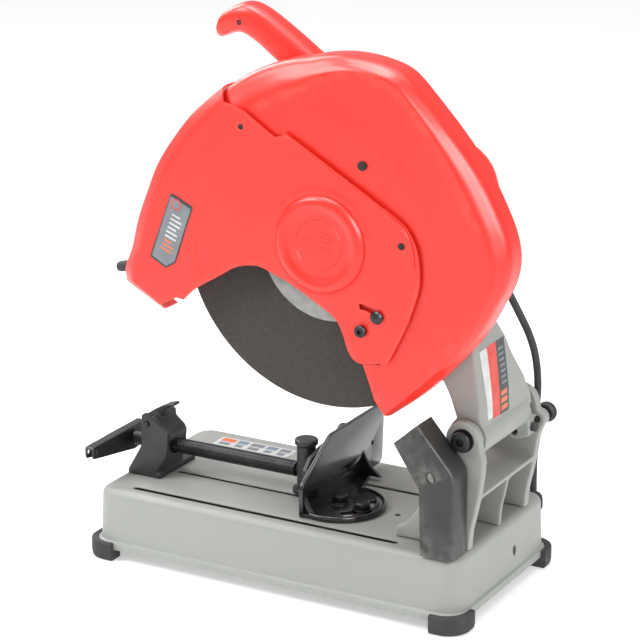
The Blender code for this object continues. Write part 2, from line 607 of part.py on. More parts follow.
def gear(name, teeth, centre, lo, hi, bore_r, phase):
    """A spur gear: straight-flanked teeth on the pitch circle, with running clearance."""
    pitch_r = GEAR_MODULE * teeth / 2
    tip_r = pitch_r + TOOTH_ABOVE * GEAR_MODULE
    root_r = pitch_r - TOOTH_BELOW * GEAR_MODULE
    pitch = 2 * pi / teeth
    outline = []
    for i in range(teeth):
        for radius, offset in ((root_r, -ROOT_HALF), (tip_r, -TIP_HALF), (tip_r, TIP_HALF),
                               (root_r, ROOT_HALF)):
            angle = phase + (i + offset) * pitch
            outline.append((centre[0] + radius * cos(angle), centre[1] + radius * sin(angle)))
    ob = prism(name, "X", outline, lo, hi, "steel")
    cut(ob, cylinder("c_" + name, "X", centre, bore_r, lo - 5, hi + 5))


def build_gears():
    phase = radians(MOTOR_DEG)
    gear("drive_gear", TEETH_GEAR, WHEEL, 49.0, 61.5, 8.3, phase)
    # half a pitch on, so a tooth of one gear faces a space of the other
    gear("pinion", TEETH_PINION, MOTOR, 48.0, 62.5, 5.4, phase + pi + pi / TEETH_PINION)


def build_wheel_group():
    """Turns about +X."""
    lathe("spindle", "X", WHEEL, SPINDLE_PROFILE, "steel", 24)
    ring("spindle_bearing_rear", "X", WHEEL, 8.3, 17.5, 35.0, 46.0, "steel")
    ring("spindle_bearing_front", "X", WHEEL, 8.3, 20.0, 64.2, 74.2, "steel")
    lathe("inner_flange", "X", WHEEL, INNER_FLANGE_PROFILE, "blacksteel", 32)
    ring("abrasive_wheel", "X", WHEEL, WHEEL_BORE, WHEEL_R, WHEEL_X0, WHEEL_X1,
         "abrasive", 64)
    lathe("outer_flange", "X", WHEEL, OUTER_FLANGE_PROFILE, "blacksteel", 32)
    arbor_bolt = cylinder("arbor_bolt", "X", WHEEL, 5.0, 64, 106, "zinc", 16)
    join(arbor_bolt, prism("u_ab_head", "X", hexagon(WHEEL, 17), 104.8, 111.5))


# ================================================================= motor
# Lathe profiles (radius, x)
HOUSING_BORE_R = MOTOR_R - 4
HOUSING_PROFILE = [
    (HOUSING_BORE_R, 31.2), (MOTOR_R, 31.2), (MOTOR_R, -96), (MOTOR_R - 3, -105),
    (MOTOR_R - 10, -110.5), (MOTOR_R - 16, MOTOR_END), (0, MOTOR_END), (0, MOTOR_END + 3.6),
    (MOTOR_R - 17, MOTOR_END + 3.6), (MOTOR_R - 12, -107), (MOTOR_R - 6.4, -103),
    (HOUSING_BORE_R, -95)]
ARMATURE_PROFILE = [
    (0, -104), (5.0, -104), (5.0, -92), (17, -92), (17, -69), (10, -66), (26, -62),
    (29, -58), (29, -8), (26, -4), (5.0, 0), (5.0, 63.3), (0, 63.3)]


def build_motor_housing():
    housing = lathe("motor_housing", "X", MOTOR, HOUSING_PROFILE, "red", 32)
    for k in range(-3, 4):            # level vent slots, shorter away from the middle
        half, z = 34 - abs(k) * 4, MOTOR_Z + 9 * k
        cut(housing, box("c_vent%d" % (k + 3), -125, -100, MOTOR_Y - half, MOTOR_Y + half,
                         z - 1.8, z + 1.8))
    brush = (BRUSH_X, MOTOR_Y)
    cut(housing,
        cylinder("c_brush_u", "Z", brush, 8.2, MOTOR_Z + 40, MOTOR_Z + 80, sides=20),
        cylinder("c_brush_l", "Z", brush, 8.2, MOTOR_Z - 80, MOTOR_Z - 40, sides=20))
    for name, side in (("brush_cap_upper", 1), ("brush_cap_lower", -1)):
        inner_z, outer_z = MOTOR_Z + side * 52, MOTOR_Z + side * 60.5
        lathe(name, "Z", brush, [(0, inner_z), (7.8, inner_z), (7.8, outer_z), (0, outer_z)],
              "plastic", 16)


def build_motor_inside():
    ring("field_stack", "X", MOTOR, 31.0, 50.0, -60, -6, "steel")
    lathe("armature", "X", MOTOR, ARMATURE_PROFILE, "copper")
    ring("armature_bearing", "X", MOTOR, 5.3, 15.0, 32.0, 43.0, "steel", 28)


def build_fan():
    """A disc with nine radial blades on its far side."""
    fan = cylinder("motor_fan", "X", MOTOR, 50, 26.0, 28.0, "plastic", 40)
    for k in range(9):
        angle = 2 * pi * k / 9
        blade = [(MOTOR_Y + radius * cos(angle) - offset * sin(angle),
                  MOTOR_Z + radius * sin(angle) + offset * cos(angle))
                 for radius, offset in ((18, -1), (48, -1), (48, 1), (18, 1))]
        join(fan, prism("u_fan%d" % k, "X", blade, 16.0, 27.0))
    join(fan, cylinder("u_fan_hub", "X", MOTOR, 12, 14, 27, sides=20))
    cut(fan, cylinder("c_fan", "X", MOTOR, 5.3, 0, 40, sides=20))


# ================================================================= handle, switch, trigger
# Outlines (y, z); the grip follows the top of the motor housing
GRIP = [(-97, 609), (-105, 616), (-101, 628), (-86, 637), (-69, 642), (-58, 638), (-22, 617),
        (14, 592), (60, 556), (108, 528), (146, 514), (150, 500), (136, 487.8),
        *arc(MOTOR, MOTOR_R + 1, range(70, 111, 10)),
        (78, 494), (62, 510), (38, 536), (8, 560), (-30, 585.5), (-53, 602), (-72, 611),
        (-84, 612)]
POCKET = [(-18, 560), (-18, 590), (-12, 595), (24, 575.5), (62, 549.5), (54, 536.5),
          (26, 550.5), (20, 543)]
SWITCH = [(28, 553.5), (52, 541.5), (55, 548.5), (32, 565)]
TRIGGER = [(-12, 585), (-14, 575), (-8, 563), (2, 555), (13, 547.5), (18, 549), (18, 554),
           (10, 562), (4, 570), (-1, 579), (-4, 586.5), (-9, 588)]


def half_handle(name, pocket_name, lo, hi):
    """One handle half with rounded edges and its share of the switch pocket."""
    half = prism(name, "X", GRIP, lo, hi, "red")
    bevel = half.modifiers.new("edge", "BEVEL")
    bevel.width = 0.0075
    bevel.segments = 3
    bevel.limit_method = "ANGLE"
    bevel.angle_limit = radians(60)
    cut(half, prism(pocket_name, "X", POCKET, 22.0, 38.0))
    return half


def build_handle():
    half_handle("handle_right", "c_pocketright", HANDLE_X + GAP / 2, 47.0)
    left = half_handle("handle_left", "c_pocket_left", 13.0, HANDLE_X - GAP / 2)
    cut(left, cylinder("c_button", "X", LOCK_BUTTON, 5.3, 0, 25, sides=16))
    prism("switch", "X", SWITCH, 23, 37, "plastic", False)
    prism("trigger", "X", TRIGGER, 23.5, 36.5, "plastic")
    lathe("lock_button", "X", LOCK_BUTTON,
          [(0, 9.5), (4.0, 9.5), (5.0, 10.5), (5.0, 21.3), (0, 21.3)], "plastic", 16)


# ================================================================= upper guard
# (degrees, radius) about the wheel axis, from the rear-top round to the front-bottom order
# of falling angle: the rim, and the smaller edge of the near face
UPPER_RIM = [
    (127, 201.6), (120, 202.2), (112, 202.9), (104, 203.5), (97, 204.2), (91, 207.5),
    (83, 212), (75, 215.5), (69, 217.5), (65.5, 217.5), (62, 215), (56, 209.5), (49, 205.5),
    (40, 204), (30, 205.5), (20, 209), (11, 214.5), (5, 216.5), (0, 215), (-5, 210.5),
    (-11, 203), (-20, 195.5), (-30, 189), (-40, 185.5), (-50, 185.5), (-57, 187),
    (-62, 189), (-65, 191)]
UPPER_FACE = [
    (127, 176), (120, 171), (112, 172), (104, 176), (97, 181), (91, 188), (83, 197),
    (75, 203), (69, 206), (65.5, 206), (62, 203.5), (56, 198), (49, 193), (40, 189),
    (30, 187.5), (20, 190.5), (11, 196), (5, 201), (0, 202), (-5, 199), (-11, 193),
    (-20, 187.5), (-30, 181.5), (-40, 177), (-50, 177), (-57, 179.5), (-62, 183),
    (-65, 188)]
UPPER_HUB_R = 47
# Closes the outline: up the edge of the opening, round the hub, out to the first rim point
UPPER_MOUTH = [(-66.5, 168), (-66, 150), (-65.5, 125), (-66, 100), (-67, UPPER_HUB_R + 4),
               *[(angle, UPPER_HUB_R) for angle in range(-75, -236, -16)],
               (127.3, 75), (127.2, 120), (127.1, 160)]
UPPER_BACK_X, UPPER_EDGE_X, UPPER_FACE_X = 76.2, 104.0, 117.0


def upper_core_outline(table, wall):
    """The inside of the guard, run out past the mouth so that the cut leaves it open."""
    inside = [(angle, radius - wall) for angle, radius in table]
    first_r, last_r = inside[0][1], inside[-1][1]
    return polar(WHEEL, [(141.01, first_r)] + inside
                 + [(-80, last_r + 4), (-110, 230), (-150, 260), (165, 250)])


def build_upper_guard():
    rim = polar(WHEEL, UPPER_RIM + UPPER_MOUTH)
    face = polar(WHEEL, UPPER_FACE + UPPER_MOUTH)
    guard = loft("upper_guard", "X",
                 [(UPPER_BACK_X, rim), (UPPER_EDGE_X, rim), (UPPER_FACE_X, face)],
                 "red", split=True)
    core_rim = upper_core_outline(UPPER_RIM, 3.0)
    core_face = upper_core_outline(UPPER_FACE, 2.2)
    cut(guard,
        loft("c_guard_core", "X", [(UPPER_BACK_X + 2.6, core_rim),
                                   (UPPER_EDGE_X - 0.8, core_rim),
                                   (UPPER_FACE_X - 2.6, core_face)], split=True),
        cylinder("c_guard_hole", "X", WHEEL, 27.4, 70, 90, sides=32),
        cylinder("c_guard_h1", "X", GUARD_SCREW, 3.2, 110, 130, sides=12))
    join(guard, ring("u_guard_collar", "X", HUB, 30.0, 33.4, 116, 123.6))
    cut(guard, cylinder("c_face_hub", "X", WHEEL, 13.0, 110, 125))
    lathe("guard_screw", "X", GUARD_SCREW,
          [(0, 112), (2.9, 112), (2.9, 117.3), (5.0, 117.4), (5.0, 119.6), (0, 119.9)],
          "blacksteel", 14)


# ================================================================= lower guard
# Turns about the upper guard's collar, just outside that guard. Outlines (y, z): the front
# edge at the rim and at the near face, from the top down, then the edge both share
LOWER_RIM = [
    (-60.0, 566.5), (-86, 545.5), (-110, 522), (-143, 477), (-161.5, 436), (-173, 405.8),
    (-181.5, 373), (-190.5, 350), (-190, 338), (-186, 331), (-156, 315.5), (-138.5, 306.5)]
LOWER_FACE = [
    (-50.8, 554), (-70, 535), (-92, 512), (-122, 470), (-139, 432), (-150, 402),
    (-158, 375), (-168, 350), (-168, 341), (-164, 336), (-146, 325), (-133, 317)]
LOWER_EDGE = [
    (-113, 328), (-104, 327), (-88, 342), (-58, 360.5), (-40, 372), (-27, 376.5),
    (-14, 378.5), (-3.6, 377.5), (12, 371.5), (31, 364.5), (58, 350), (84, 334.5),
    (94, 318), (100, 301), (108, 291), (118, 288.5), (147.6, 293.9), (160, 318),
    (171, 343), (181, 371), (184, 392), (180.5, 420), (170, 441), (155.4, 453.5),
    (90, 491), (24, 528.5), (20, 524), (12, 522), (-25, 546)]
# Far outside every edge but the rim, so the core leaves only rim and face
LOWER_CORE_FAR = [(-100, 250), (0, 180), (200, 180), (260, 330), (260, 480), (180, 590),
                  (60, 640)]
# Dished cap over the collar, with a rounded rim (radius, x)
HUB_CAP_PROFILE = [
    (0, 124.5), (27, 124.5), (33.9, 125.5), (33.9, 121.2), (53, 121.2), (53, 123.6),
    (50, 126.8), (46, 128.6), (42, 128.6), (37.5, 127.0), (0, 127.0)]


def lower_core_outline(edge, wall):
    """The edge moved towards the wheel axis by the wall, then run out past the guard."""
    inside = []
    for y, z in edge:
        scale = 1 - wall / hypot(y - WHEEL_Y, z - WHEEL_Z)
        inside.append((WHEEL_Y + (y - WHEEL_Y) * scale, WHEEL_Z + (z - WHEEL_Z) * scale))
    (first_y, first_z), (last_y, last_z) = inside[0], inside[-1]
    return ([(first_y + 14, first_z + 14)] + inside[:-1]
            + [(last_y + 2.0, last_z + 2.5), (last_y + 30, last_z - 40)] + LOWER_CORE_FAR)


def build_lower_guard():
    rim, face = LOWER_RIM + LOWER_EDGE, LOWER_FACE + LOWER_EDGE
    guard = loft("lower_guard", "X", [(80.0, rim), (106.0, rim), (123.0, face)],
                 "red", split=True)
    core_rim = lower_core_outline(LOWER_RIM, 2.3)
    core_face = lower_core_outline(LOWER_FACE, 2.0)
    latch_slot = arc(LATCH, 29.6, range(32, 98, 8)) + arc(LATCH, 22.8, range(96, 31, -8))
    cut(guard,
        loft("c_lower_core", "X", [(70.0, core_rim), (105.2, core_rim), (120.5, core_face)],
             split=True),
        cylinder("c_hub_clear", "X", HUB, 34.6, 110, 125.0, sides=40),
        prism("c_latch_slot", "X", latch_slot, 110, 130),
        cylinder("c_latch_screw", "X", LATCH, 3.4, 110, 130, sides=14),
        cylinder("c_lg_h2", "X", (162.6, 423.5), 3.0, 110, 130, sides=12),
        cylinder("c_lg_h3", "X", (-29.2, 528.6), 2.4, 110, 130, sides=12))
    join(guard, lathe("u_hub", "X", HUB, HUB_CAP_PROFILE))


def build_latch():
    """A flat link behind the lower guard's face, with its knob through the slot."""
    link = hull(circle(LATCH, 7, 16) + circle(LATCH_KNOB, 6, 16))
    latch = prism("guard_latch", "X", link, 118.2, 119.9, "blacksteel")
    join(latch, cylinder("u_latch_stem", "X", LATCH_KNOB, 2.6, 119, 125, sides=14),
         lathe("u_latch_knob", "X", LATCH_KNOB,
               [(0, 123.4), (7.2, 123.4), (7.2, 125.4), (5.4, 127.6), (0, 128.4)], sides=20))
    cut(latch, cylinder("c_latch_eye", "X", LATCH, 3.4, 110, 125, sides=14))
    screw = lathe("latch_screw", "X", LATCH,
                  [(0, 117.6), (3.1, 117.6), (3.1, 123.3), (6.6, 123.4), (6.6, 127.6),
                   (0, 127.6)], "blacksteel", 20)
    cut(screw, prism("c_latch_hex", "X", hexagon(LATCH, 5.4), 125, 130))


def build_guard_small_parts():
    # rubber nose on the front of the lower guard, pointing away from the wheel axis
    nose = [(93, *point_at(WHEEL, 261.4 + step, 192.5)) for step in (0, 2, 13, 16)]
    round_bar("guard_nose", nose, 6.2, 14, "rubber")
    # flat spiral return spring inside the hub
    spiral = []
    for i in range(26):
        angle, radius = 2 * pi * i / 10, 15 + 0.42 * i
        spiral.append((120.6, HUB_Y + radius * cos(angle), HUB_Z + radius * sin(angle)))
    round_bar("guard_spring", spiral, 0.9, 6, "steel")


# ================================================================= head lock pin, cord
LOCK_PIN_PROFILE = [(0, -62.5), (3.4, -62.5), (4.0, -64), (4.0, -84), (9.5, -84.2),
                    (11.8, -88), (11.8, -94), (9.5, -97.6), (0, -98)]


def beside_motor(radius):
    """The cord leaves the motor towards the rear and down."""
    return (-85.0, *point_at(MOTOR, radius, -44.2))


CORD_START = beside_motor(76.5)
CORD_PATH = [
    CORD_START, (-85.5, 179, 348), (-86, 190, 325), (-88, 203.5, 300), (-90, 213.5, 280),
    (-92.5, 220, 260), (-96, 222.8, 238), (-101.5, 222, 214), (-108, 218.5, 194),
    (-120, 212.5, 152), (-130.5, 207, 112), (-137, 204, 92), (-142, 202, 79),
    (-144.8, 201, 70.2)]


def build_lock_pin():
    lathe("lock_pin", "X", LOCK_PIN, LOCK_PIN_PROFILE, "plastic", 20)


def build_cord():
    round_bar("power_cord", CORD_PATH, 4.2, 10, "rubber")
    lathe("plug", "Z", (-145.2, 200.8),
          [(0, 68.0), (6, 68.0), (11, 63), (11.5, 54), (11.5, 48), (0, 48)], "rubber", 16)
    boot = [beside_motor(radius) for radius in (60.6, 67, 73.8)]
    round_bar("cord_boot", boot, 7.5, 14, "rubber")


# ================================================================= empties on the joint axes
# name: (position, parent axis, pieces); a parent stands before its children
AXES = {
    "head": ((0, *PIVOT), None,
             ["arm", "gear_cover", "arm_bumper", "spindle_bearing_rear",
              "spindle_bearing_front", "motor_housing", "brush_cap_upper",
              "brush_cap_lower", "field_stack", "armature_bearing", "handle_right",
              "handle_left", "switch", "upper_guard", "guard_screw", "cord_boot",
              "guard_spring"]),
    "wheel": ((WHEEL_X, *WHEEL), "head",
              ["spindle", "drive_gear", "inner_flange", "abrasive_wheel", "outer_flange",
               "arbor_bolt"]),
    "rotor": ((0, *MOTOR), "head", ["armature", "pinion", "motor_fan"]),
    "front_guard": ((120, *HUB), "head", ["lower_guard", "latch_screw", "guard_nose"]),
    "latch": ((120, *LATCH), "front_guard", ["guard_latch"]),
    "trigger_axis": ((HANDLE_X, 17, 553), "head", ["trigger"]),
    "button_axis": ((10, *LOCK_BUTTON), "head", ["lock_button"]),
    "spindle_lock_axis": ((*SPINDLE_LOCK, 460), "head", ["spindle_lock"]),
    "lock_pin_axis": ((-80, *LOCK_PIN), None, ["lock_pin"]),
    "cord_axis": (CORD_START, "head", ["power_cord", "plug"]),
    "fence_axis": ((*FENCE_PIVOT, 85), None, ["fence"]),
    "vise_axis": ((*POST, SCREW_Z), None, ["vise_post"]),
    "jaw_axis": ((*POST, 90), "vise_axis", ["vise_jaw"]),
    "screw_axis": ((SCREW_X, CRANK_Y0, SCREW_Z), "vise_axis", ["vise_screw", "crank"]),
    "half_nut_axis": ((20, *HALF_NUT_HINGE), None, ["half_nut"]),
}


def build_axes():
    """Adds the empties and moves each piece's origin to its own axis."""
    placed = {}
    for name, (position, parent, pieces) in AXES.items():
        empty = bpy.data.objects.new("axis_" + name, None)
        empty.empty_display_size = 0.03
        bpy.context.scene.collection.objects.link(empty)
        place = Vector(to_metres(*position))
        empty.location = place
        if parent:
            parent_empty, parent_place = placed[parent]
            empty.parent = parent_empty
            empty.location = place - parent_place
        placed[name] = (empty, place)
        for piece in pieces:
            ob = bpy.data.objects[piece]
            ob.data.transform(Matrix.Translation(-place))
            ob.parent = empty


for build in (build_base, build_feet, build_stand, build_pivot_shaft, build_head_spring,
              build_deflector, build_fence, build_vise_bracket, build_half_nut,
              build_screw_and_crank, build_post_and_jaw, build_arm, build_gear_cover,
              build_arm_small_parts, build_wheel_group, build_gears, build_motor_housing,
              build_motor_inside, build_fan, build_handle, build_upper_guard,
              build_lower_guard, build_latch, build_guard_small_parts, build_lock_pin,
              build_cord, build_axes):
    build()
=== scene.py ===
"""Abrasive chop saw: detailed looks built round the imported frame.

Lengths are millimetres in the saw's design frame; metres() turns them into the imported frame.
+X is the saw's right, where the wheel is; -Y is its front, where the vise crank is; +Z is up.
Points in a plane are (y, z) across X, (x, z) across Y and (x, y) across Z.
"""
import bpy
import bmesh
import math
from math import cos, sin, pi, radians, hypot, atan2, sqrt
from mathutils import Vector, Matrix
from mathutils.geometry import delaunay_2d_cdt

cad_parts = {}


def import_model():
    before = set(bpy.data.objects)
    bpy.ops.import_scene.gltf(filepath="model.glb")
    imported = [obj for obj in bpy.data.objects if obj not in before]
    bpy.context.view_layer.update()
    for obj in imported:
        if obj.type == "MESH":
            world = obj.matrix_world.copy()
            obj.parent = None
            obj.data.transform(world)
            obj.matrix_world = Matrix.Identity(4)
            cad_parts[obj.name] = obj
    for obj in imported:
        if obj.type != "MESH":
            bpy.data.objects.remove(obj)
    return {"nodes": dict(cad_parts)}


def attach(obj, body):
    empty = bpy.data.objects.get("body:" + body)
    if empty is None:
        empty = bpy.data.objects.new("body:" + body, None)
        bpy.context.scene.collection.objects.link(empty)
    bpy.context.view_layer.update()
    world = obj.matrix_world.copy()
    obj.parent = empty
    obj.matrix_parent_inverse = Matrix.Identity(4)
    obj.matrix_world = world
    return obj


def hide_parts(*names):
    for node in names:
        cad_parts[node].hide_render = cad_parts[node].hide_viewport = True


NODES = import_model()["nodes"]
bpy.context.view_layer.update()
SCENE = bpy.context.scene

# Design-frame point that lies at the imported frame's origin
ORIGIN_X, ORIGIN_Y = -12.95, 14.14

# Axes parallel to X, as (y, z)
WHEEL = WHEEL_Y, WHEEL_Z = 62.6, 402.8
HEAD_PIVOT = PIVOT_Y, PIVOT_Z = 217.5, 207.5
HUB = HUB_Y, HUB_Z = WHEEL_Y + 3.9, WHEEL_Z + 10.2
MOTOR_OFFSET, MOTOR_ANGLE = 55.5, radians(28.9)
MOTOR = MOTOR_Y, MOTOR_Z = (WHEEL_Y + MOTOR_OFFSET * cos(MOTOR_ANGLE),
                            WHEEL_Z + MOTOR_OFFSET * sin(MOTOR_ANGLE))

TABLE_Z = 82.5      # top of the base tray
MOUNT_Z = 82.9      # underside of what stands on the tray


def metres(x, y, z):
    return ((x - ORIGIN_X) * 0.001, (y - ORIGIN_Y) * 0.001, z * 0.001)


# ------------------------------------------------------------------ materials
def srgb(colour):
    """Linear RGBA from 0-255 sRGB."""
    def linear(c):
        return (c / 255 / 12.92) if c <= 10 else ((c / 255 + 0.055) / 1.055) ** 2.4
    return tuple(linear(c) for c in colour) + (1.0,)


class Mat:
    """A small builder for node materials in object space. Colours are 0-255 sRGB."""

    def __init__(self, name, base, rough, metal=0.0):
        self.material = bpy.data.materials.new(name)
        self.material.use_nodes = True
        self.nodes = self.material.node_tree.nodes
        self.links = self.material.node_tree.links
        self.shader = self.nodes["Principled BSDF"]
        self.base = srgb(base)
        self.set("Base Color", self.base)
        self.set("Roughness", rough)
        self.set("Metallic", metal)
        self.coords = self.node("ShaderNodeTexCoord").outputs["Object"]
        self.colour = None
        self.normal = None

    def set(self, socket, value):
        self.shader.inputs[socket].default_value = value

    def node(self, kind, **settings):
        """A new node; each setting is an input's value or a property."""
        node = self.nodes.new(kind)
        for key, value in settings.items():
            if key in node.inputs:
                node.inputs[key].default_value = value
            else:
                setattr(node, key, value)
        return node

    def noise(self, scale, detail, rough=0.5, stretch=None):
        node = self.node("ShaderNodeTexNoise", Scale=scale, Detail=detail, Roughness=rough)
        coords = self.coords
        if stretch:
            mapping = self.node("ShaderNodeMapping", Scale=stretch)
            self.links.new(coords, mapping.inputs["Vector"])
            coords = mapping.outputs["Vector"]
        self.links.new(coords, node.inputs["Vector"])
        return node.outputs["Fac"]

    def ramp(self, factor, low, high, to_low=0.0, to_high=1.0):
        node = self.node("ShaderNodeMapRange")
        for key, value in (("From Min", low), ("From Max", high),
                           ("To Min", to_low), ("To Max", to_high)):
            node.inputs[key].default_value = value
        self.links.new(factor, node.inputs["Value"])
        return node.outputs["Result"]

    def math(self, operation, *values):
        node = self.node("ShaderNodeMath", operation=operation)
        for i, value in enumerate(values):
            if isinstance(value, (int, float)):
                node.inputs[i].default_value = value
            else:
                self.links.new(value, node.inputs[i])
        return node.outputs[0]

    def tint(self, factor, colour):
        """Mixes towards a colour by a factor."""
        node = self.node("ShaderNodeMix", data_type="RGBA")
        self.links.new(factor, node.inputs["Factor"])
        if self.colour is None:
            node.inputs[6].default_value = self.base
        else:
            self.links.new(self.colour, node.inputs[6])
        node.inputs[7].default_value = srgb(colour)
        self.colour = node.outputs[2]
        self.links.new(self.colour, self.shader.inputs["Base Color"])

    def mottle(self, scale, detail, low, high, amount, colour, rough=0.5):
        """Noise patches of a colour: noise from low to high gives 0 to amount."""
        self.tint(self.ramp(self.noise(scale, detail, rough), low, high, 0, amount), colour)

    def sheen(self, scale, detail, low, high):
        """Roughness that wanders from low to high."""
        factor = self.ramp(self.noise(scale, detail), 0.25, 0.75, low, high)
        self.links.new(factor, self.shader.inputs["Roughness"])

    def bump(self, factor, depth):
        """Relief of a depth in millimetres, on top of any earlier relief."""
        node = self.node("ShaderNodeBump", Strength=1.0, Distance=depth * 0.001)
        self.links.new(factor, node.inputs["Height"])
        if self.normal is not None:
            self.links.new(self.normal, node.inputs["Normal"])
        self.normal = node.outputs["Normal"]
        self.links.new(self.normal, self.shader.inputs["Normal"])

    def edges(self, colour, low, high, amount):
        """Lighter convex edges, from the mesh's pointiness broken up by noise: a painted edge
        highlight, partly rubbed wear.
        """
        pointed = self.node("ShaderNodeNewGeometry").outputs["Pointiness"]
        factor = self.ramp(pointed, low, high, 0, amount)
        patches = self.ramp(self.noise(scale=90, detail=5), 0.35, 0.65)
        self.tint(self.math("MULTIPLY", factor, patches), colour)


def scaled(colour, factor):
    return [min(255, int(c * factor)) for c in colour]


def coated(name, base, rough, mottles, sheen, grain, edge=None, extra={}):
    """A non-metal.

    mottles: rows of (noise scale, detail, from, to, amount, colour)
    sheen:   (noise scale, detail, lowest roughness, highest roughness)
    grain:   rows of (noise scale, detail, depth in mm)
    edge:    lighter edges, a painted highlight with some wear: (colour, pointiness from, to, amount)
    extra:   further shader inputs
    """
    mat = Mat(name, base, rough)
    for row in mottles:
        mat.mottle(*row)
    mat.sheen(*sheen)
    for scale, detail, depth in grain:
        mat.bump(mat.noise(scale, detail), depth)
    # lighter edges: painted edge highlight with some wear
    if edge:
        mat.edges(*edge)
    for socket, value in extra.items():
        mat.set(socket, value)
    return mat.material


def metal(name, base, rough, smoothest, roughest, depth=0.04, dark=0.6):
    """Bare metal with darker patches and a grain stretched along Z."""
    mat = Mat(name, base, rough, 1.0)
    mat.mottle(40, 6, 0.35, 0.7, 0.5, scaled(base, dark))
    mat.sheen(90, 6, smoothest, roughest)
    mat.bump(mat.noise(500, 3, rough=0.6, stretch=(1, 1, 6)), depth)
    # lighter edges: a painted edge highlight, with some rubbed wear
    mat.edges(scaled(base, 1.25), 0.52, 0.6, 0.6)
    return mat.material


def abrasive():
    """Pressed grit: Voronoi cells with pale grains."""
    mat = Mat("abrasive_m", (74, 69, 64), 0.93)
    cells = mat.node("ShaderNodeTexVoronoi", Scale=620.0)
    mat.links.new(mat.coords, cells.inputs["Vector"])
    distance = cells.outputs["Distance"]
    mat.tint(mat.ramp(distance, 0.1, 0.6, 0, 0.6), (46, 43, 40))
    mat.mottle(900, 5, 0.56, 0.72, 0.75, (124, 116, 106), rough=0.7)
    mat.mottle(12, 4, 0.4, 0.7, 0.3, (66, 60, 55))
    mat.sheen(400, 3, 0.85, 1.0)
    mat.bump(distance, 0.5)
    mat.bump(mat.noise(1400, 4), 0.3)
    return mat.material


# Columns are given in coated() and metal()
MATS = {
    "red": coated(
        "red_plastic_m", (240, 42, 28), 0.36,
        mottles=[(7, 3, 0.3, 0.7, 0.10, (246, 66, 48)), (240, 2, 0.6, 0.8, 0.10, (205, 40, 30))],
        sheen=(35, 6, 0.30, 0.44), grain=[(1500, 2, 0.035), (60, 2, 0.05)],
        edge=((255, 120, 100), 0.56, 0.66, 0.15),
        extra={"Subsurface Weight": 0.08, "Subsurface Scale": 0.004,
               "Subsurface Radius": (1.0, 0.35, 0.2),
               "Coat Weight": 0.22, "Coat Roughness": 0.14}),
    "grey": coated(
        "grey_paint_m", (158, 161, 156), 0.46,
        mottles=[(5, 4, 0.3, 0.7, 0.20, (170, 172, 166)),
                 (420, 3, 0.58, 0.75, 0.16, (126, 129, 124))],
        sheen=(28, 6, 0.38, 0.56), grain=[(900, 3, 0.06), (160, 2, 0.05)],
        edge=((214, 216, 210), 0.53, 0.62, 0.4)),
    "cast": coated(
        "grey_cast_m", (154, 157, 152), 0.5,
        mottles=[(9, 5, 0.3, 0.7, 0.25, (168, 170, 164)),
                 (300, 4, 0.6, 0.78, 0.2, (120, 123, 118))],
        sheen=(40, 6, 0.42, 0.62), grain=[(420, 4, 0.14), (70, 3, 0.1)],
        edge=((212, 214, 208), 0.52, 0.6, 0.45)),
    "bracket": coated(
        "dark_bracket_m", (44, 44, 42), 0.5,
        mottles=[(12, 5, 0.3, 0.7, 0.25, (54, 54, 51)), (500, 3, 0.6, 0.8, 0.2, (36, 36, 34))],
        sheen=(50, 6, 0.34, 0.54), grain=[(800, 3, 0.06)],
        # strong pale edges: a painted highlight along the folds and rims
        edge=((150, 150, 145), 0.52, 0.6, 0.7)),
    "black": coated(
        "black_gloss_m", (26, 26, 26), 0.2,
        mottles=[(14, 5, 0.4, 0.7, 0.4, (38, 38, 38))],
        sheen=(45, 6, 0.14, 0.30), grain=[(300, 3, 0.08), (60, 3, 0.16)],
        edge=((112, 112, 110), 0.54, 0.64, 0.5),
        extra={"Coat Weight": 0.4, "Coat Roughness": 0.12}),
    "castblack": coated(
        "black_cast_m", (38, 38, 38), 0.4,
        mottles=[(18, 5, 0.4, 0.7, 0.5, (54, 54, 54))],
        sheen=(60, 6, 0.30, 0.5), grain=[(260, 4, 0.22), (60, 3, 0.15)],
        edge=((120, 120, 118), 0.53, 0.62, 0.5)),
    "rubber": coated(
        "rubber_m", (52, 53, 55), 0.78,
        mottles=[(30, 5, 0.4, 0.7, 0.5, (66, 67, 69)), (700, 3, 0.6, 0.8, 0.4, (88, 88, 88))],
        sheen=(80, 5, 0.66, 0.9), grain=[(700, 4, 0.12)]),
    "steel": metal("steel_m", (178, 178, 180), 0.3, 0.22, 0.4),
    "blacksteel": metal("black_steel_m", (66, 66, 68), 0.35, 0.28, 0.5),
    "zinc": metal("zinc_m", (196, 194, 184), 0.28, 0.2, 0.42),
    "copper": metal("copper_m", (186, 106, 62), 0.35, 0.28, 0.5, depth=0.2),
    "plastic": coated(
        "black_plastic_m", (30, 30, 31), 0.48,
        mottles=[(30, 4, 0.4, 0.7, 0.4, (40, 40, 41))],
        sheen=(80, 5, 0.42, 0.6), grain=[(1200, 3, 0.06)],
        edge=((110, 110, 110), 0.53, 0.62, 0.4)),
    "socket": coated(
        "socket_black_m", (12, 11, 11), 0.6,
        mottles=[(60, 4, 0.4, 0.7, 0.4, (20, 19, 19))],
        sheen=(90, 5, 0.5, 0.72), grain=[(900, 3, 0.05)],
        edge=((70, 66, 64), 0.56, 0.66, 0.25)),
    "abrasive": abrasive(),
}


# ------------------------------------------------------------------ mesh helpers
def place(axis, along, first, second):
    return {"X": (along, first, second), "Y": (first, along, second),
            "Z": (first, second, along)}[axis]


def clean(mesh, weld=0.0):
    """Welds vertices closer than a distance in metres and turns the faces outwards."""
    bm = bmesh.new()
    bm.from_mesh(mesh)
    if weld:
        bmesh.ops.remove_doubles(bm, verts=bm.verts, dist=weld)
    bmesh.ops.recalc_face_normals(bm, faces=bm.faces)
    bm.to_mesh(mesh)
    bm.free()


def link_mesh(name, verts, faces, weld=0.0):
    mesh = bpy.data.meshes.new(name)
    mesh.from_pydata([metres(*v) for v in verts], [], faces)
    mesh.update()
    clean(mesh, weld)
    ob = bpy.data.objects.new(name, mesh)
    SCENE.collection.objects.link(ob)
    return ob


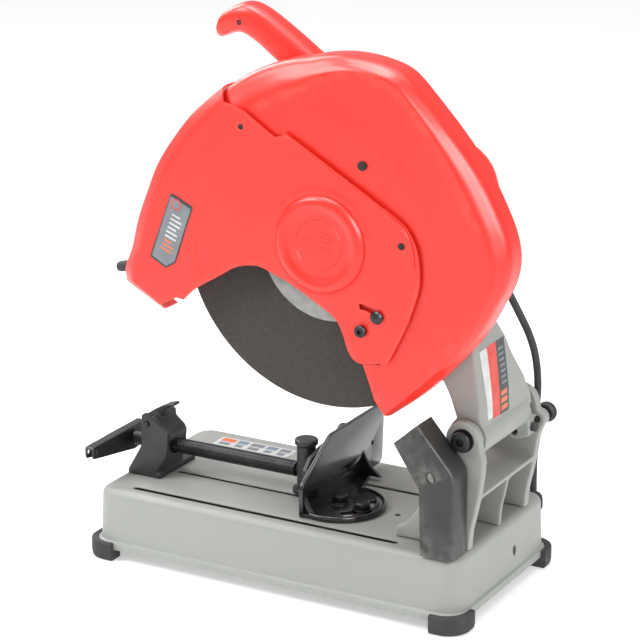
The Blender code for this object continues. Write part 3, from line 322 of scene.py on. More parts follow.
def new_object(name, verts, faces, smooth=35):
    ob = link_mesh(name, verts, faces)
    shade(ob, smooth)
    return ob


def shade(ob, angle):
    """Smooth shading, sharp where faces meet at more than the angle in degrees."""
    ob.data.shade_smooth()
    ob.data.set_sharp_from_angle(angle=radians(angle))


def bake(ob):
    """Makes the modifiers' result the object's own mesh."""
    bpy.context.view_layer.update()
    graph = bpy.context.evaluated_depsgraph_get()
    mesh = bpy.data.meshes.new_from_object(
        ob.evaluated_get(graph), preserve_all_data_layers=True, depsgraph=graph)
    ob.modifiers.clear()
    old = ob.data
    ob.data = mesh
    bpy.data.meshes.remove(old)


def ring_faces(rings, n):
    """Quads between successive closed rings of n vertices."""
    return [(a + i, a + (i + 1) % n, a + n + (i + 1) % n, a + n + i)
            for a in range(0, (rings - 1) * n, n) for i in range(n)]


def end_faces(rings, n):
    return [tuple(range(n))[::-1], tuple(range(n * (rings - 1), n * rings))]


def loft(name, rings, axis, smooth=35):
    """A solid through (place along the axis, outline) rings."""
    n = len(rings[0][1])
    verts = [place(axis, along, *p) for along, ring in rings for p in ring]
    faces = end_faces(len(rings), n) + ring_faces(len(rings), n)
    return new_object(name, verts, faces, smooth)


def prism(name, outline, axis, low, high):
    return loft(name, [(low, outline), (high, outline)], axis)


def circle(centre, radius, n, start=0.0):
    return [(centre[0] + radius * cos(start + 2 * pi * i / n),
             centre[1] + radius * sin(start + 2 * pi * i / n)) for i in range(n)]


def hexagon(centre, across_flats, start=0.0):
    return circle(centre, across_flats / sqrt(3), 6, start)


def polar(centre, pairs):
    """Points from (angle in degrees, radius) pairs."""
    return [(centre[0] + radius * cos(radians(angle)), centre[1] + radius * sin(radians(angle)))
            for angle, radius in pairs]


def cyl(name, radius, axis, centre, low, high, n=48):
    return prism(name, circle(centre, radius, n), axis, low, high)


def box(name, x, y, z):
    """A box from its (low, high) range on each axis."""
    return prism(name, [(x[0], y[0]), (x[1], y[0]), (x[1], y[1]), (x[0], y[1])], "Z", *z)


def lathe(name, profile, axis, centre, n, smooth=35):
    """Turns a closed (radius, place along the axis) profile about an axis."""
    verts, index = [], []
    for radius, along in profile:
        if radius < 1e-6:
            index.append([len(verts)] * n)
            verts.append(place(axis, along, *centre))
        else:
            index.append(list(range(len(verts), len(verts) + n)))
            verts += [place(axis, along, *p) for p in circle(centre, radius, n)]
    faces = []
    for k in range(len(profile)):
        j = (k + 1) % len(profile)
        a, b = index[k], index[j]
        if profile[k][0] < 1e-6 and profile[j][0] < 1e-6:
            continue
        for i in range(n):
            # dict.fromkeys drops the repeated corner where a ring is a single point
            face = tuple(dict.fromkeys((a[i], a[(i + 1) % n], b[(i + 1) % n], b[i])))
            if len(face) > 2:
                faces.append(face)
    return new_object(name, verts, faces, smooth)


def tube(name, points, radius, n=16):
    """A round bar along points; radius is one number or one per point."""
    points = [Vector(p) for p in points]
    verts, side, last = [], None, len(points) - 1
    for i, point in enumerate(points):
        along = (points[min(i + 1, last)] - points[max(i - 1, 0)]).normalized()
        if side is None:
            side = along.orthogonal().normalized()
        side = (side - along * side.dot(along)).normalized()
        up = along.cross(side)
        size = radius[i] if isinstance(radius, list) else radius
        verts += [tuple(point + side * size * cos(2 * pi * k / n) + up * size * sin(2 * pi * k / n))
                  for k in range(n)]
    rings = len(points)
    return new_object(name, verts, end_faces(rings, n) + ring_faces(rings, n), 40)


def smooth_path(points, steps):
    """Catmull-Rom through points of any dimension."""
    points = [Vector(p) for p in points]
    out = []
    for i in range(len(points) - 1):
        before, start = points[max(i - 1, 0)], points[i]
        end, after = points[i + 1], points[min(i + 2, len(points) - 1)]
        for k in range(steps):
            t = k / steps
            out.append(0.5 * ((2 * start) + (end - before) * t
                              + (2 * before - 5 * start + 4 * end - after) * t * t
                              + (3 * start - before - 3 * end + after) * t ** 3))
    out.append(points[-1])
    return out


def bezier(start, middle, end, t):
    return start * (1 - t) ** 2 + middle * 2 * t * (1 - t) + end * t * t


def rounded(outline, radius, n=5):
    """Rounds a closed outline's corners; radius is one number or one per corner."""
    out = []
    for i, corner in enumerate(outline):
        corner = Vector(corner)
        back = Vector(outline[i - 1]) - corner
        ahead = Vector(outline[(i + 1) % len(outline)]) - corner
        size = radius[i] if isinstance(radius, list) else radius
        if size <= 0 or back.length < 1e-6 or ahead.length < 1e-6:
            out.append(tuple(corner))
            continue
        angle = back.angle(ahead)
        if angle > radians(174):
            out.append(tuple(corner))
            continue
        cut = min(size / math.tan(angle / 2), back.length * 0.48, ahead.length * 0.48)
        start = corner + back * (cut / back.length)
        end = corner + ahead * (cut / ahead.length)
        out += [tuple(bezier(start, corner, end, k / n)) for k in range(n + 1)]
    return out


def densify(path, step):
    """Splits an open path into pieces no longer than step."""
    out = []
    for start, end in zip(path, path[1:]):
        start, end = Vector(start), Vector(end)
        k = max(1, int(math.ceil((end - start).length / step)))
        out += [tuple(start.lerp(end, j / k)) for j in range(k)]
    return out + [tuple(path[-1])]


def inside(point, outline):
    x, y = point[0], point[1]
    result = False
    xj, yj = outline[-1][0], outline[-1][1]
    for xi, yi in outline:
        if (yi > y) != (yj > y) and x < (xj - xi) * (y - yi) / (yj - yi) + xi:
            result = not result
        xj, yj = xi, yi
    return result


def distance_to(point, path, closed=True):
    """Shortest distance from a point to a path."""
    best = 1e9
    count = len(path)
    for i in range(count if closed else count - 1):
        a, b = path[i], path[(i + 1) % count]
        dx, dy = b[0] - a[0], b[1] - a[1]
        square = dx * dx + dy * dy
        t = 0
        if square >= 1e-12:
            t = max(0, min(1, ((point[0] - a[0]) * dx + (point[1] - a[1]) * dy) / square))
        best = min(best, (point[0] - a[0] - t * dx) ** 2 + (point[1] - a[1] - t * dy) ** 2)
    return sqrt(best)


def sheet(outline, holes, spacing):
    """Points and triangles over a flat outline with holes, on a regular inner grid."""
    verts, edges = [], []
    for loop in [outline] + holes:
        first = len(verts)
        verts += [Vector((p[0], p[1])) for p in loop]
        edges += [(first + i, first + (i + 1) % len(loop)) for i in range(len(loop))]

    def within(point):
        return inside(point, outline) and not any(inside(point, hole) for hole in holes)

    xs, ys = [p[0] for p in outline], [p[1] for p in outline]
    j, y = 0, min(ys) + spacing / 2
    while y < max(ys):
        x = min(xs) + (spacing / 2 if j % 2 else 0)
        while x < max(xs):
            if within((x, y)) and all(distance_to((x, y), loop) > spacing * 0.45
                                      for loop in [outline] + holes):
                verts.append(Vector((x, y)))
            x += spacing
        y += spacing * 0.866
        j += 1
    points, _, triangles, *_ = delaunay_2d_cdt(verts, edges, [], 0, 1e-4)
    kept = [tuple(f) for f in triangles
            if within(sum((points[i] for i in f), Vector((0, 0))) / len(f))]
    return [(p.x, p.y) for p in points], kept


class Skin:
    """An open surface put together from strips and sheets, welded, then given a thickness."""

    def __init__(self):
        self.verts, self.faces = [], []

    def add(self, verts, faces):
        first = len(self.verts)
        self.verts += [tuple(p) for p in verts]
        self.faces += [tuple(first + i for i in f) for f in faces]

    def strip(self, rows, closed=False):
        n = len(rows[0])
        self.add([p for row in rows for p in row],
                 [(k * n + i, k * n + (i + 1) % n, (k + 1) * n + (i + 1) % n, (k + 1) * n + i)
                  for k in range(len(rows) - 1) for i in range(n if closed else n - 1)])

    def build(self, name, thick, bevel):
        ob = link_mesh(name, self.verts, self.faces, weld=0.00004)
        solid = ob.modifiers.new("thick", "SOLIDIFY")
        solid.thickness = thick * 0.001
        solid.offset = -1.0
        solid.use_even_offset = False
        solid.use_quality_normals = True
        bake(ob)
        bevelled(ob, bevel, 2, angle=55, smooth=32)
        return ob


def merge(obs):
    """Puts every object's mesh into the first one."""
    bm = bmesh.new()
    for ob in obs:
        bm.from_mesh(ob.data)
    bm.to_mesh(obs[0].data)
    bm.free()
    for ob in obs[1:]:
        bpy.data.objects.remove(ob, do_unlink=True)


def subtract(ob, *cutters):
    for cutter in cutters:
        cut = ob.modifiers.new("cut", "BOOLEAN")
        cut.operation, cut.solver, cut.object = "DIFFERENCE", "EXACT", cutter
    bake(ob)
    for cutter in cutters:
        bpy.data.objects.remove(cutter, do_unlink=True)


def soften(ob, voxel, passes, ratio):
    """Turns a hard-edged solid into a casting with filleted edges."""
    remesh = ob.modifiers.new("remesh", "REMESH")
    remesh.mode, remesh.voxel_size = "VOXEL", voxel * 0.001
    remesh.use_smooth_shade = True
    smooth = ob.modifiers.new("smooth", "SMOOTH")
    smooth.factor, smooth.iterations = 0.5, passes
    ob.modifiers.new("decimate", "DECIMATE").ratio = ratio
    bake(ob)
    shade(ob, 60)


def bevelled(ob, width, segments=3, angle=38, smooth=35):
    bevel = ob.modifiers.new("edge", "BEVEL")
    bevel.width, bevel.segments = width * 0.001, segments
    bevel.limit_method, bevel.angle_limit = "ANGLE", radians(angle)
    bevel.use_clamp_overlap = True
    bake(ob)
    shade(ob, smooth)


def copy_cad(node, name):
    mesh = NODES[node].data.copy()
    clean(mesh, weld=0.000002)
    mesh.materials.clear()
    ob = bpy.data.objects.new(name, mesh)
    SCENE.collection.objects.link(ob)
    return ob


def finish(ob, body, material, *nodes):
    """Gives a piece its material, the body it rides on and the frame nodes it replaces.

    The material is a key of MATS or a material of its own.
    """
    own = not isinstance(material, str)
    ob.data.materials.clear()
    ob.data.materials.append(material if own else MATS[material])
    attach(ob, body)
    if nodes:
        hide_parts(*nodes)


def casting(node, name, body, material, voxel, passes, ratio):
    """A frame node with its edges filleted."""
    ob = copy_cad(node, name)
    soften(ob, voxel, passes, ratio)
    finish(ob, body, material, node)


# ------------------------------------------------------------------ frame nodes that only get a finish
KEEP = {
    "steel": ["head_spring", "spindle_bearing_rear", "spindle_bearing_front",
              "armature_bearing", "field_stack", "spindle", "drive_gear", "pinion",
              "guard_spring"],
    "blacksteel": ["inner_flange", "guard_latch", "half_nut_pin"],
    "socket": ["guard_screw"],
    "copper": ["armature"],
    "plastic": ["switch", "motor_fan"],
    "cast": ["gear_cover"],
}
for material, names in KEEP.items():
    for name in names:
        NODES[name].data.materials.clear()
        NODES[name].data.materials.append(MATS[material])


# ------------------------------------------------------------------ base: pressed steel tray
TRAY_HALF_X, TRAY_HALF_Y = 124.5, 235.0
# (z, inset of the wall, corner radius), bottom to top
TRAY_PROFILE = [
    (12.4, 0.4, 25), (13.2, 0.0, 25), (19.2, 0.0, 25), (20.6, 0.35, 24.8), (21.4, 1.2, 24.4),
    (21.9, 2.2, 24), (22.6, 3.1, 23.6), (24.2, 3.6, 23.2), (34, 4.0, 22.8), (54, 4.8, 22),
    (73.5, 5.6, 21.3), (75.8, 5.85, 21), (77.6, 6.5, 20.5), (79.2, 7.6, 19.5), (80.6, 9.2, 18),
    (81.6, 11.2, 16.2), (82.2, 13.4, 14.2), (TABLE_Z, 16.0, 12.5)]
# (x, front y, rear y, width)
TRAY_SLOTS = [(96.6, -191, 149, 7.2), (27.6, -176, 84, 5.6), (-41.5, -191, 149, 6.2)]
TRAY_HOLE, TRAY_HOLE_RADIUS = (24.3, 112.0), 3.2
HOLE_ROLL = 1.6     # width of the rolled edge round each opening
TRAY_RIBS_X = (58.0, -4.0, -72.0)


def round_rect(half_x, half_y, radius, n=14):
    return [(sx * (half_x - radius) + radius * cos(radians(start + 90 * i / n)),
             sy * (half_y - radius) + radius * sin(radians(start + 90 * i / n)))
            for sx, sy, start in ((1, 1, 0), (-1, 1, 90), (-1, -1, 180), (1, -1, 270))
            for i in range(n + 1)]


def slot_loop(x, front, rear, width, n=8):
    half = width / 2
    turn = [pi * i / n for i in range(n + 1)]
    return ([(x + half * cos(a), rear - half + half * sin(a)) for a in turn]
            + [(x - half * cos(a), front + half - half * sin(a)) for a in turn])


def build_base():
    skin = Skin()
    rows = [[(x, y, z) for x, y in round_rect(TRAY_HALF_X - inset, TRAY_HALF_Y - inset, r, 10)]
            for z, inset, r in TRAY_PROFILE]
    skin.strip(rows, True)
    holes = [slot_loop(*slot) for slot in TRAY_SLOTS]
    rims = [slot_loop(x, front - HOLE_ROLL, rear + HOLE_ROLL, width + 2 * HOLE_ROLL)
            for x, front, rear, width in TRAY_SLOTS]
    holes.append(circle(TRAY_HOLE, TRAY_HOLE_RADIUS, 16))
    rims.append(circle(TRAY_HOLE, TRAY_HOLE_RADIUS + HOLE_ROLL, 16))
    points, triangles = sheet([(x, y) for x, y, z in rows[-1]], rims, 26.0)
    skin.add([(x, y, TABLE_Z) for x, y in points], triangles)
    for hole, rim in zip(holes, rims):
        # the edge of each opening is rolled down a little
        middle = [((a[0] * 2 + b[0]) / 3, (a[1] * 2 + b[1]) / 3) for a, b in zip(hole, rim)]
        skin.strip([[(x, y, z) for x, y in loop]
                    for loop, z in ((rim, TABLE_Z), (middle, 82.2), (hole, 81.4))], True)
    tray = skin.build("base_tray", thick=2.2, bevel=0.4)
    # Black ribs inside the tray, behind the slots: dark sheets that stand in for the shade seen
    # through the slots, painted shade
    ribs = [box("slot_shade_ribs", (x - 1.0, x + 1.0), (-229, 229), (14, 72.5)) for x in TRAY_RIBS_X]
    merge(ribs)
    bevelled(ribs[0], 0.3, 2, 40)
    finish(ribs[0], "base_unit", "castblack")
    # oval opening in the rear wall
    oval = [(-30 + 4.5 * cos(2 * pi * i / 24), 43.5 + 6.5 * sin(2 * pi * i / 24))
            for i in range(24)]
    subtract(tray, prism("cut", oval, "Y", 215, 245))
    shade(tray, 32)
    finish(tray, "base_unit", "grey", "base")


build_base()

# Rubber foot: its outer corner stands proud of the tray's
FOOT_CORNER_X, FOOT_CORNER_Y = TRAY_HALF_X + 6.3, TRAY_HALF_Y + 6.3
FOOT_RADIUS = 27.0
# (z, inset of the outer wall)
FOOT_PROFILE = [(0.0, 2.4), (0.5, 1.5), (2.0, 0.7), (4.5, 0.5), (5.2, 0.0), (19.4, 0.0),
                (20.8, 0.5), (21.4, 1.4), (21.5, 2.4)]


def foot_outline(side_x, side_y, inset):
    right, rear, radius = FOOT_CORNER_X - inset, FOOT_CORNER_Y - inset, FOOT_RADIUS - inset
    points = [(FOOT_CORNER_X - 38, rear), (FOOT_CORNER_X - 38, FOOT_CORNER_Y - 20),
              (FOOT_CORNER_X - 20, FOOT_CORNER_Y - 38), (right, FOOT_CORNER_Y - 38)]
    points += polar((right - radius, rear - radius), [(a, radius) for a in range(0, 91, 6)])
    return [(side_x * x, side_y * y) for x, y in points]


for name, side_x, side_y in (("foot_front_right", 1, -1), ("foot_front_left", -1, -1),
                             ("foot_rear_right", 1, 1), ("foot_rear_left", -1, 1)):
    foot = loft("v_" + name, [(z, foot_outline(side_x, side_y, inset))
                              for z, inset in FOOT_PROFILE], "Z", 40)
    recess = round_rect(TRAY_HALF_X + 0.5, TRAY_HALF_Y + 0.5, 25.4)
    subtract(foot, prism("cut", recess, "Z", 11.8, 40))
    shade(foot, 40)
    finish(foot, "base_unit", "rubber", name)


# ------------------------------------------------------------------ bolts on the base
FENCE_PIVOT = (34, 44)
FENCE_LOCK_REACH, FENCE_LOCK_ANGLE = 34, 75
FENCE_LOCK = polar(FENCE_PIVOT, [(FENCE_LOCK_ANGLE, FENCE_LOCK_REACH)])[0]
# (name, (x, y), seat z, across flats, height, washer radius, material, frame node)
BOLTS = [
    ("stand_bolt_l", (-50, 150), 89.3, 13, 6.4, 9.0, "zinc", "stand_bolt_left"),
    ("stand_bolt_r", (60, 150), 89.3, 13, 6.4, 9.0, "zinc", "stand_bolt_right"),
    ("fence_bolt_p", FENCE_PIVOT, 88.7, 16, 8.8, 11.0, "blacksteel", "fence_pivot_bolt"),
    ("fence_bolt_l", FENCE_LOCK, 88.7, 16, 8.8, 11.0, "blacksteel", "fence_lock_bolt"),
    ("vise_bolt_r", (44.5, -203), 88.8, 13, 5.8, None, "blacksteel", "vise_bolt_right"),
    ("vise_bolt_l", (-5.0, -200), 88.8, 13, 5.8, None, "blacksteel", "vise_bolt_left")]


def hex_bolt(name, centre, seat, across, height, washer, material, node):
    """Hexagon head with a chamfered top, on a washer if it has one."""
    outline = hexagon(centre, across, pi / 6)
    top = seat + height
    chamfer = [(centre[0] + (x - centre[0]) * 0.86, centre[1] + (y - centre[1]) * 0.86)
               for x, y in outline]
    head = loft(name, [(seat + (1.3 if washer else 0.1), outline), (top - 1.0, outline),
                       (top, chamfer)], "Z", 30)
    bevelled(head, 0.35, 2, 25, 30)
    parts = [head]
    if washer:
        profile = [(0, seat + 0.05), (washer, seat + 0.05), (washer, seat + 1.1),
                   (washer - 0.3, seat + 1.35), (0, seat + 1.35)]
        parts.append(lathe("washer", profile, "Z", centre, 40))
    parts.append(cyl("shank", 4.0, "Z", centre, seat - 8, seat + 0.5, 24))
    merge(parts)
    finish(head, "base_unit", material, node)


for bolt in BOLTS:
    hex_bolt(*bolt)

# ------------------------------------------------------------------ stand and head pivot
casting("pivot_stand", "stand_casting", "base_unit", "cast", 1.15, 7, 0.3)

PIVOT_HEAD_RADIUS = 11.0
# (radius, x)
PIVOT_PROFILE = [(0, 86.2), (4.6, 86.2), (4.6, 90.3), (8.6, 90.5), (10.4, 89.9),
                 (PIVOT_HEAD_RADIUS, 89.0), (PIVOT_HEAD_RADIUS, 82.5), (8.7, 82.5), (8.7, -88),
                 (7.9, -89), (0, -89)]


def build_pivot():
    """Socket-headed shaft with a knurled rim and a washer, and its nut."""
    shaft = lathe("pivot_shaft_v", PIVOT_PROFILE, "X", HEAD_PIVOT, 48, 30)
    washer = cyl("washer", 13.0, "X", HEAD_PIVOT, 82.15, 83.4)
    knurls = [tube("knurl", [(83.8, y, z), (88.8, y, z)], 0.42, 6)
              for y, z in circle(HEAD_PIVOT, PIVOT_HEAD_RADIUS, 36)]
    merge([shaft, washer] + knurls)
    finish(shaft, "base_unit", "blacksteel", "pivot_shaft")
    nut = prism("pivot_nut_v", hexagon(HEAD_PIVOT, 24), "X", -84, -73.4)
    subtract(nut, cyl("cut", 9.0, "X", HEAD_PIVOT, -95, -60))
    bevelled(nut, 0.7, 2, 30)
    finish(nut, "base_unit", "zinc", "pivot_nut")


build_pivot()

# ------------------------------------------------------------------ spark deflector: folded sheet
DEFLECTOR_LEFT, DEFLECTOR_RIGHT, DEFLECTOR_FOLD = 82.6, 119.5, 4.0
# Open edge (y, z) and web (y, z) of each cross-section, from the foot up
DEFLECTOR_SECTIONS = [
    ((187.0, MOUNT_Z), (225.5, MOUNT_Z)), ((185.6, 128), (225.5, 128)),
    ((184.7, 156), (225.5, 172)), ((184.0, 160.0), (224.9, 176.5)),
    ((182.8, 161.9), (223.2, 180.8)), ((180, 166), (219.5, 186.2)),
    ((168.6, 183.0), (202.5, 205.8)), ((154.0, 205.2), (181.5, 229.8))]


def build_deflector():
    """An open channel with rounded folds, swept up the web."""
    left, right, fold = DEFLECTOR_LEFT, DEFLECTOR_RIGHT, DEFLECTOR_FOLD
    turn = [pi / 2 * i / 5 for i in range(6)]
    rows = []
    for edge, web in DEFLECTOR_SECTIONS:
        edge, web = Vector(edge), Vector(web)
        across = (web - edge).normalized()
        middle = edge.lerp(web, 0.5)
        row = [(right, edge), (right, middle)]
        row += [(right - fold + fold * cos(a), web - across * (fold - fold * sin(a)))
                for a in turn]
        row.append(((left + right) / 2, web))
        row += [(left + fold - fold * sin(a), web - across * (fold - fold * cos(a)))
                for a in turn]
        row += [(left, middle), (left, edge)]
        rows.append([(x, point.x, point.y) for x, point in row])
    skin = Skin()
    skin.strip(rows)
    ob = skin.build("deflector_sheet", thick=2.6, bevel=0.5)
    subtract(ob, cyl("cut", 5.5, "X", (199.0, 173.5), 112, 130, 32))
    shade(ob, 30)
    finish(ob, "base_unit", "bracket", "spark_deflector")


build_deflector()

# ------------------------------------------------------------------ fence
# (x, z, corner radius) of the upright plate
FENCE_PLATE = [(-100, 88.0, 4), (-105, 92, 6), (-108, 143, 6), (-96, 160, 7), (20, 160, 10),
               (84, 121, 4), (86.5, 116, 3), (86.5, MOUNT_Z, 2), (-62, MOUNT_Z, 3), (-72, 86, 6)]
FENCE_FOOT_TOP = 87
# (x, height, depth at the foot)
FENCE_GUSSETS = ((-58, 36, 24), (79.5, 24, 12))


def build_fence():
    outline = rounded([row[:2] for row in FENCE_PLATE], [row[2] for row in FENCE_PLATE])
    plate = prism("fence_plate", outline, "Y", 20, 25)
    subtract(plate, cyl("cut", 2.6, "Y", (-79, 119), 0, 60, 24))
    bevelled(plate, 0.9, 3, 40)
    # semicircular foot with an arc slot, its raised rims and the pivot boss
    half_round = polar(FENCE_PIVOT, [(a, 52.0) for a in range(-12, 181, 4)])
    foot = prism("foot", [(86.0, 21)] + half_round + [(-62, 32), (-62, 21)],
                 "Z", MOUNT_Z, 87.6)
    slot = polar(FENCE_PIVOT, [(a, 39.5) for a in range(28, 131, 3)]
                 + [(a, 28.5) for a in range(130, 27, -3)])
    subtract(foot, prism("cut", slot, "Z", 75, 100), cyl("cut", 5.4, "Z", FENCE_PIVOT, 75, 100, 24))
    bevelled(foot, 0.7, 2, 40)
    outer = polar(FENCE_PIVOT, [(a, 49.6) for a in range(-14, 181, 10)])
    outer_rim = tube("rim", smooth_path([(x, y, 87.2) for x, y in outer], 3), 2.2, 12)
    inner = polar(FENCE_PIVOT, [(a, 41.2) for a in range(26, 133, 4)])
    inner_rim = tube("rim", [(x, y, 87.4) for x, y in inner], 1.4, 10)
    boss = lathe("boss", [(5.6, 87), (13.5, 87), (13.0, 88.5), (5.6, 88.6)],
                 "Z", FENCE_PIVOT, 40)
    # curved gussets behind the plate, thin at the top and flared at the foot
    gussets = []
    for x, height, depth in FENCE_GUSSETS:
        curve = [(24.5 + depth * (1 - k / 8) ** 2.2, FENCE_FOOT_TOP + height * (k / 8))
                 for k in range(9)]
        outline = [(24.0, FENCE_FOOT_TOP)] + curve + [(24.0, FENCE_FOOT_TOP + height)]
        gusset = prism("gusset", outline, "X", x - 2.2, x + 2.2)
        bevelled(gusset, 0.6, 2, 40)
        gussets.append(gusset)
    merge([plate, foot, outer_rim, inner_rim, boss] + gussets)
    shade(plate, 34)
    finish(plate, "fence", "black", "fence")


build_fence()

# ------------------------------------------------------------------ vise
# (frame node, body, voxel, smoothing passes, share of faces kept)
for node, body, voxel, passes, ratio in (("vise_bracket", "base_unit", 0.8, 5, 0.45),
                                         ("half_nut", "half_nut", 0.75, 5, 0.5),
                                         ("crank", "vise_screw", 0.6, 4, 0.45),
                                         ("vise_jaw", "vise_jaw", 0.8, 4, 0.5),
                                         ("vise_post", "vise_carrier", 0.6, 5, 0.5)):
    casting(node, node + "_v", body, "castblack", voxel, passes, ratio)

SCREW = SCREW_X, SCREW_Z = 21.5, 112.0
SCREW_ROOT, SCREW_CREST = 8.25, 8.9
SCREW_FRONT, SCREW_REAR = -236.0, -19.0
SCREW_PITCH, SCREW_STARTS = 3.0, 2
SCREW_SIDES, STEPS_PER_PITCH = 28, 8


def threaded_bar(name):
    """The screw's rounded trapezoidal thread, as one helicoid surface."""
    n = SCREW_SIDES
    steps = int((SCREW_REAR - SCREW_FRONT) / SCREW_PITCH * STEPS_PER_PITCH)
    verts = []
    for j in range(steps + 1):
        y = SCREW_FRONT + (SCREW_REAR - SCREW_FRONT) * j / steps
        fade = max(0, min(1, (y - SCREW_FRONT) / 3, (SCREW_REAR - y) / 3))
        for i in range(n):
            phase = ((y - SCREW_FRONT) / SCREW_PITCH - SCREW_STARTS * i / n) % 1.0
            groove = min(1, max(0, (abs(phase - 0.5) * 2 - 0.3) / 0.4))
            radius = SCREW_CREST - (SCREW_CREST - SCREW_ROOT) * groove * fade
            a = 2 * pi * i / n
            verts.append((SCREW_X + radius * cos(a), y, SCREW_Z + radius * sin(a)))
    faces = ring_faces(steps + 1, n) + end_faces(steps + 1, n)
    return new_object(name, verts, faces, 50)


def build_screw():
    bar = threaded_bar("vise_screw_v")
    neck = lathe("neck", [(0, -249.5), (3.9, -249.5), (4.6, -248.8), (4.6, -235.5),
                          (0, -235.5)], "Y", SCREW, 32)
    tail = lathe("tail", [(0, -19.5), (5.2, -19.5), (5.2, -3), (4.2, -2), (0, -2)],
                 "Y", SCREW, 32)
    merge([bar, neck, tail])
    shade(bar, 50)
    finish(bar, "vise_screw", "blacksteel", "vise_screw")
    cap = lathe("crank_bolt_cap", [(0, -252.6), (5.6, -252.4), (6.6, -251.6), (6.6, -250.2),
                                   (0, -250.2)], "Y", SCREW, 32)
    finish(cap, "vise_screw", "blacksteel")


build_screw()

# ------------------------------------------------------------------ head: arm casting and motor
casting("arm", "arm_casting", "head", "cast", 1.1, 7, 0.3)
bumper = lathe("arm_bumper_v", [(0, 240.8), (5.2, 240.8), (5.2, 245.6), (4.2, 246.5),
                                (0, 246.5)], "Y", (-46.4, 187), 28)
finish(bumper, "head", "rubber", "arm_bumper")

MOTOR_RADIUS = 60.0
BRUSH_X = -80


def build_motor():
    shell = copy_cad("motor_housing", "motor_shell")
    soften(shell, 0.95, 3, 0.4)
    # two raised seams round the shell: (height over the shell, offset from the seam)
    seam = ((-1, -1.2), (-0.05, -1.2), (0.5, -0.48), (0.5, 0.48), (-0.05, 1.2), (-1, 1.2))
    merge([shell] + [lathe("seam", [(MOTOR_RADIUS + rise, x + dx) for rise, dx in seam],
                           "X", MOTOR, 96) for x in (-62.0, 6.0)])
    shade(shell, 50)
    finish(shell, "head", "red", "motor_housing")
    # (radius, distance from the motor axis)
    cap_profile = [(0, 52), (7.6, 52), (7.6, 60.2), (7.0, 60.8), (0, 60.8)]
    for name, side in (("brush_cap_upper", 1), ("brush_cap_lower", -1)):
        cap = lathe("v_" + name, [(radius, MOTOR_Z + side * out) for radius, out in cap_profile],
                    "Z", (BRUSH_X, MOTOR_Y), 40)
        depth = sorted((MOTOR_Z + side * 59.4, MOTOR_Z + side * 63))
        subtract(cap, box("cut", (BRUSH_X - 6, BRUSH_X + 6),
                          (MOTOR_Y - 0.9, MOTOR_Y + 0.9), depth))
        shade(cap, 30)
        finish(cap, "head", "plastic", name)


build_motor()

# ------------------------------------------------------------------ upper guard: moulded shell
UPPER_BACK, UPPER_FACE = 76.3, 116.95
UPPER_HOLE = (114.3, 502.5)
# About the wheel axis: (angle, radius of the rim, radius of the face's edge)
UPPER_EDGE = [
    (131.5, 199.3, 181.0), (129.5, 200.2, 179.0), (127.6, 201.2, 176.6),
    (120, 202.2, 171), (112, 202.9, 172), (104, 203.5, 176), (97, 204.2, 181),
    (91, 207.5, 188), (83, 212, 197), (75, 215.5, 203), (69, 217.5, 206),
    (65.5, 217.5, 206), (62, 215, 203.5), (56, 209.5, 198), (49, 205.5, 193),
    (40, 204, 189), (30, 205.5, 187.5), (20, 209, 190.5), (11, 214.5, 196),
    (5, 216.5, 201), (0, 215, 202), (-5, 210.5, 199), (-11, 203, 193), (-20, 195.5, 187.5),
    (-30, 189, 181.5), (-40, 185.5, 177), (-50, 185.5, 177), (-57, 187, 179.5),
    (-62, 189, 183), (-65, 191, 188)]
UPPER_EDGE_END = (-65, 190.8, 187.0)    # takes the place of the smoothed curve's last point
# (angle, radius) along the open side, past the spindle
UPPER_MOUTH = ([(-66.5, 168), (-66, 150), (-65.5, 125), (-66, 100), (-67, 51)]
               + [(a, 47) for a in range(-75, -236, -7)]
               + [(131.3, 75), (131.3, 120), (131.4, 160)])
# (y, z) line along which the face stands highest
UPPER_CREST = [(-40, 560), (60, 590), (150, 560), (215, 470), (225, 400), (200, 320)]


def bump_up(distance, half_width, soft):
    """1 inside half_width of a line, easing to 0."""
    t = (abs(distance) - half_width) / soft
    return 1.0 if t <= 0 else (0.0 if t >= 1 else 0.5 + 0.5 * cos(pi * t))


def step_up(distance, soft):
    """Eases from 0 to 1 as the distance passes zero."""
    t = distance / soft
    return 0.0 if t <= -1 else (1.0 if t >= 1 else 0.5 + 0.5 * sin(pi * t / 2))


def shoulder(start, face):
    """(x, share of the way from rim to face): straight wall, round, slope, round."""
    wall, turn = Vector((start - 8, 0.0)), Vector((start + 2.2, 0.0))
    slope = Vector((start + (face - start) * 0.5, 0.42))
    top_turn, top = Vector((face - 0.2, 0.82)), Vector((face, 1.06))
    return ([tuple(bezier(wall, turn, slope, i / 6)) for i in range(7)]
            + [tuple(bezier(slope, top_turn, top, i / 7)) for i in range(1, 8)])


def shell_row(rim, face, x, share, pull=0.0):
    """Points between rim and face at one x, pulled in towards the wheel axis."""
    out = []
    for (rim_y, rim_z), (face_y, face_z) in zip(rim, face):
        y = rim_y + (face_y - rim_y) * share
        z = rim_z + (face_z - rim_z) * share
        keep = 1 - pull / hypot(y - WHEEL_Y, z - WHEEL_Z)
        out.append((x, WHEEL_Y + (y - WHEEL_Y) * keep, WHEEL_Z + (z - WHEEL_Z) * keep))
    return out


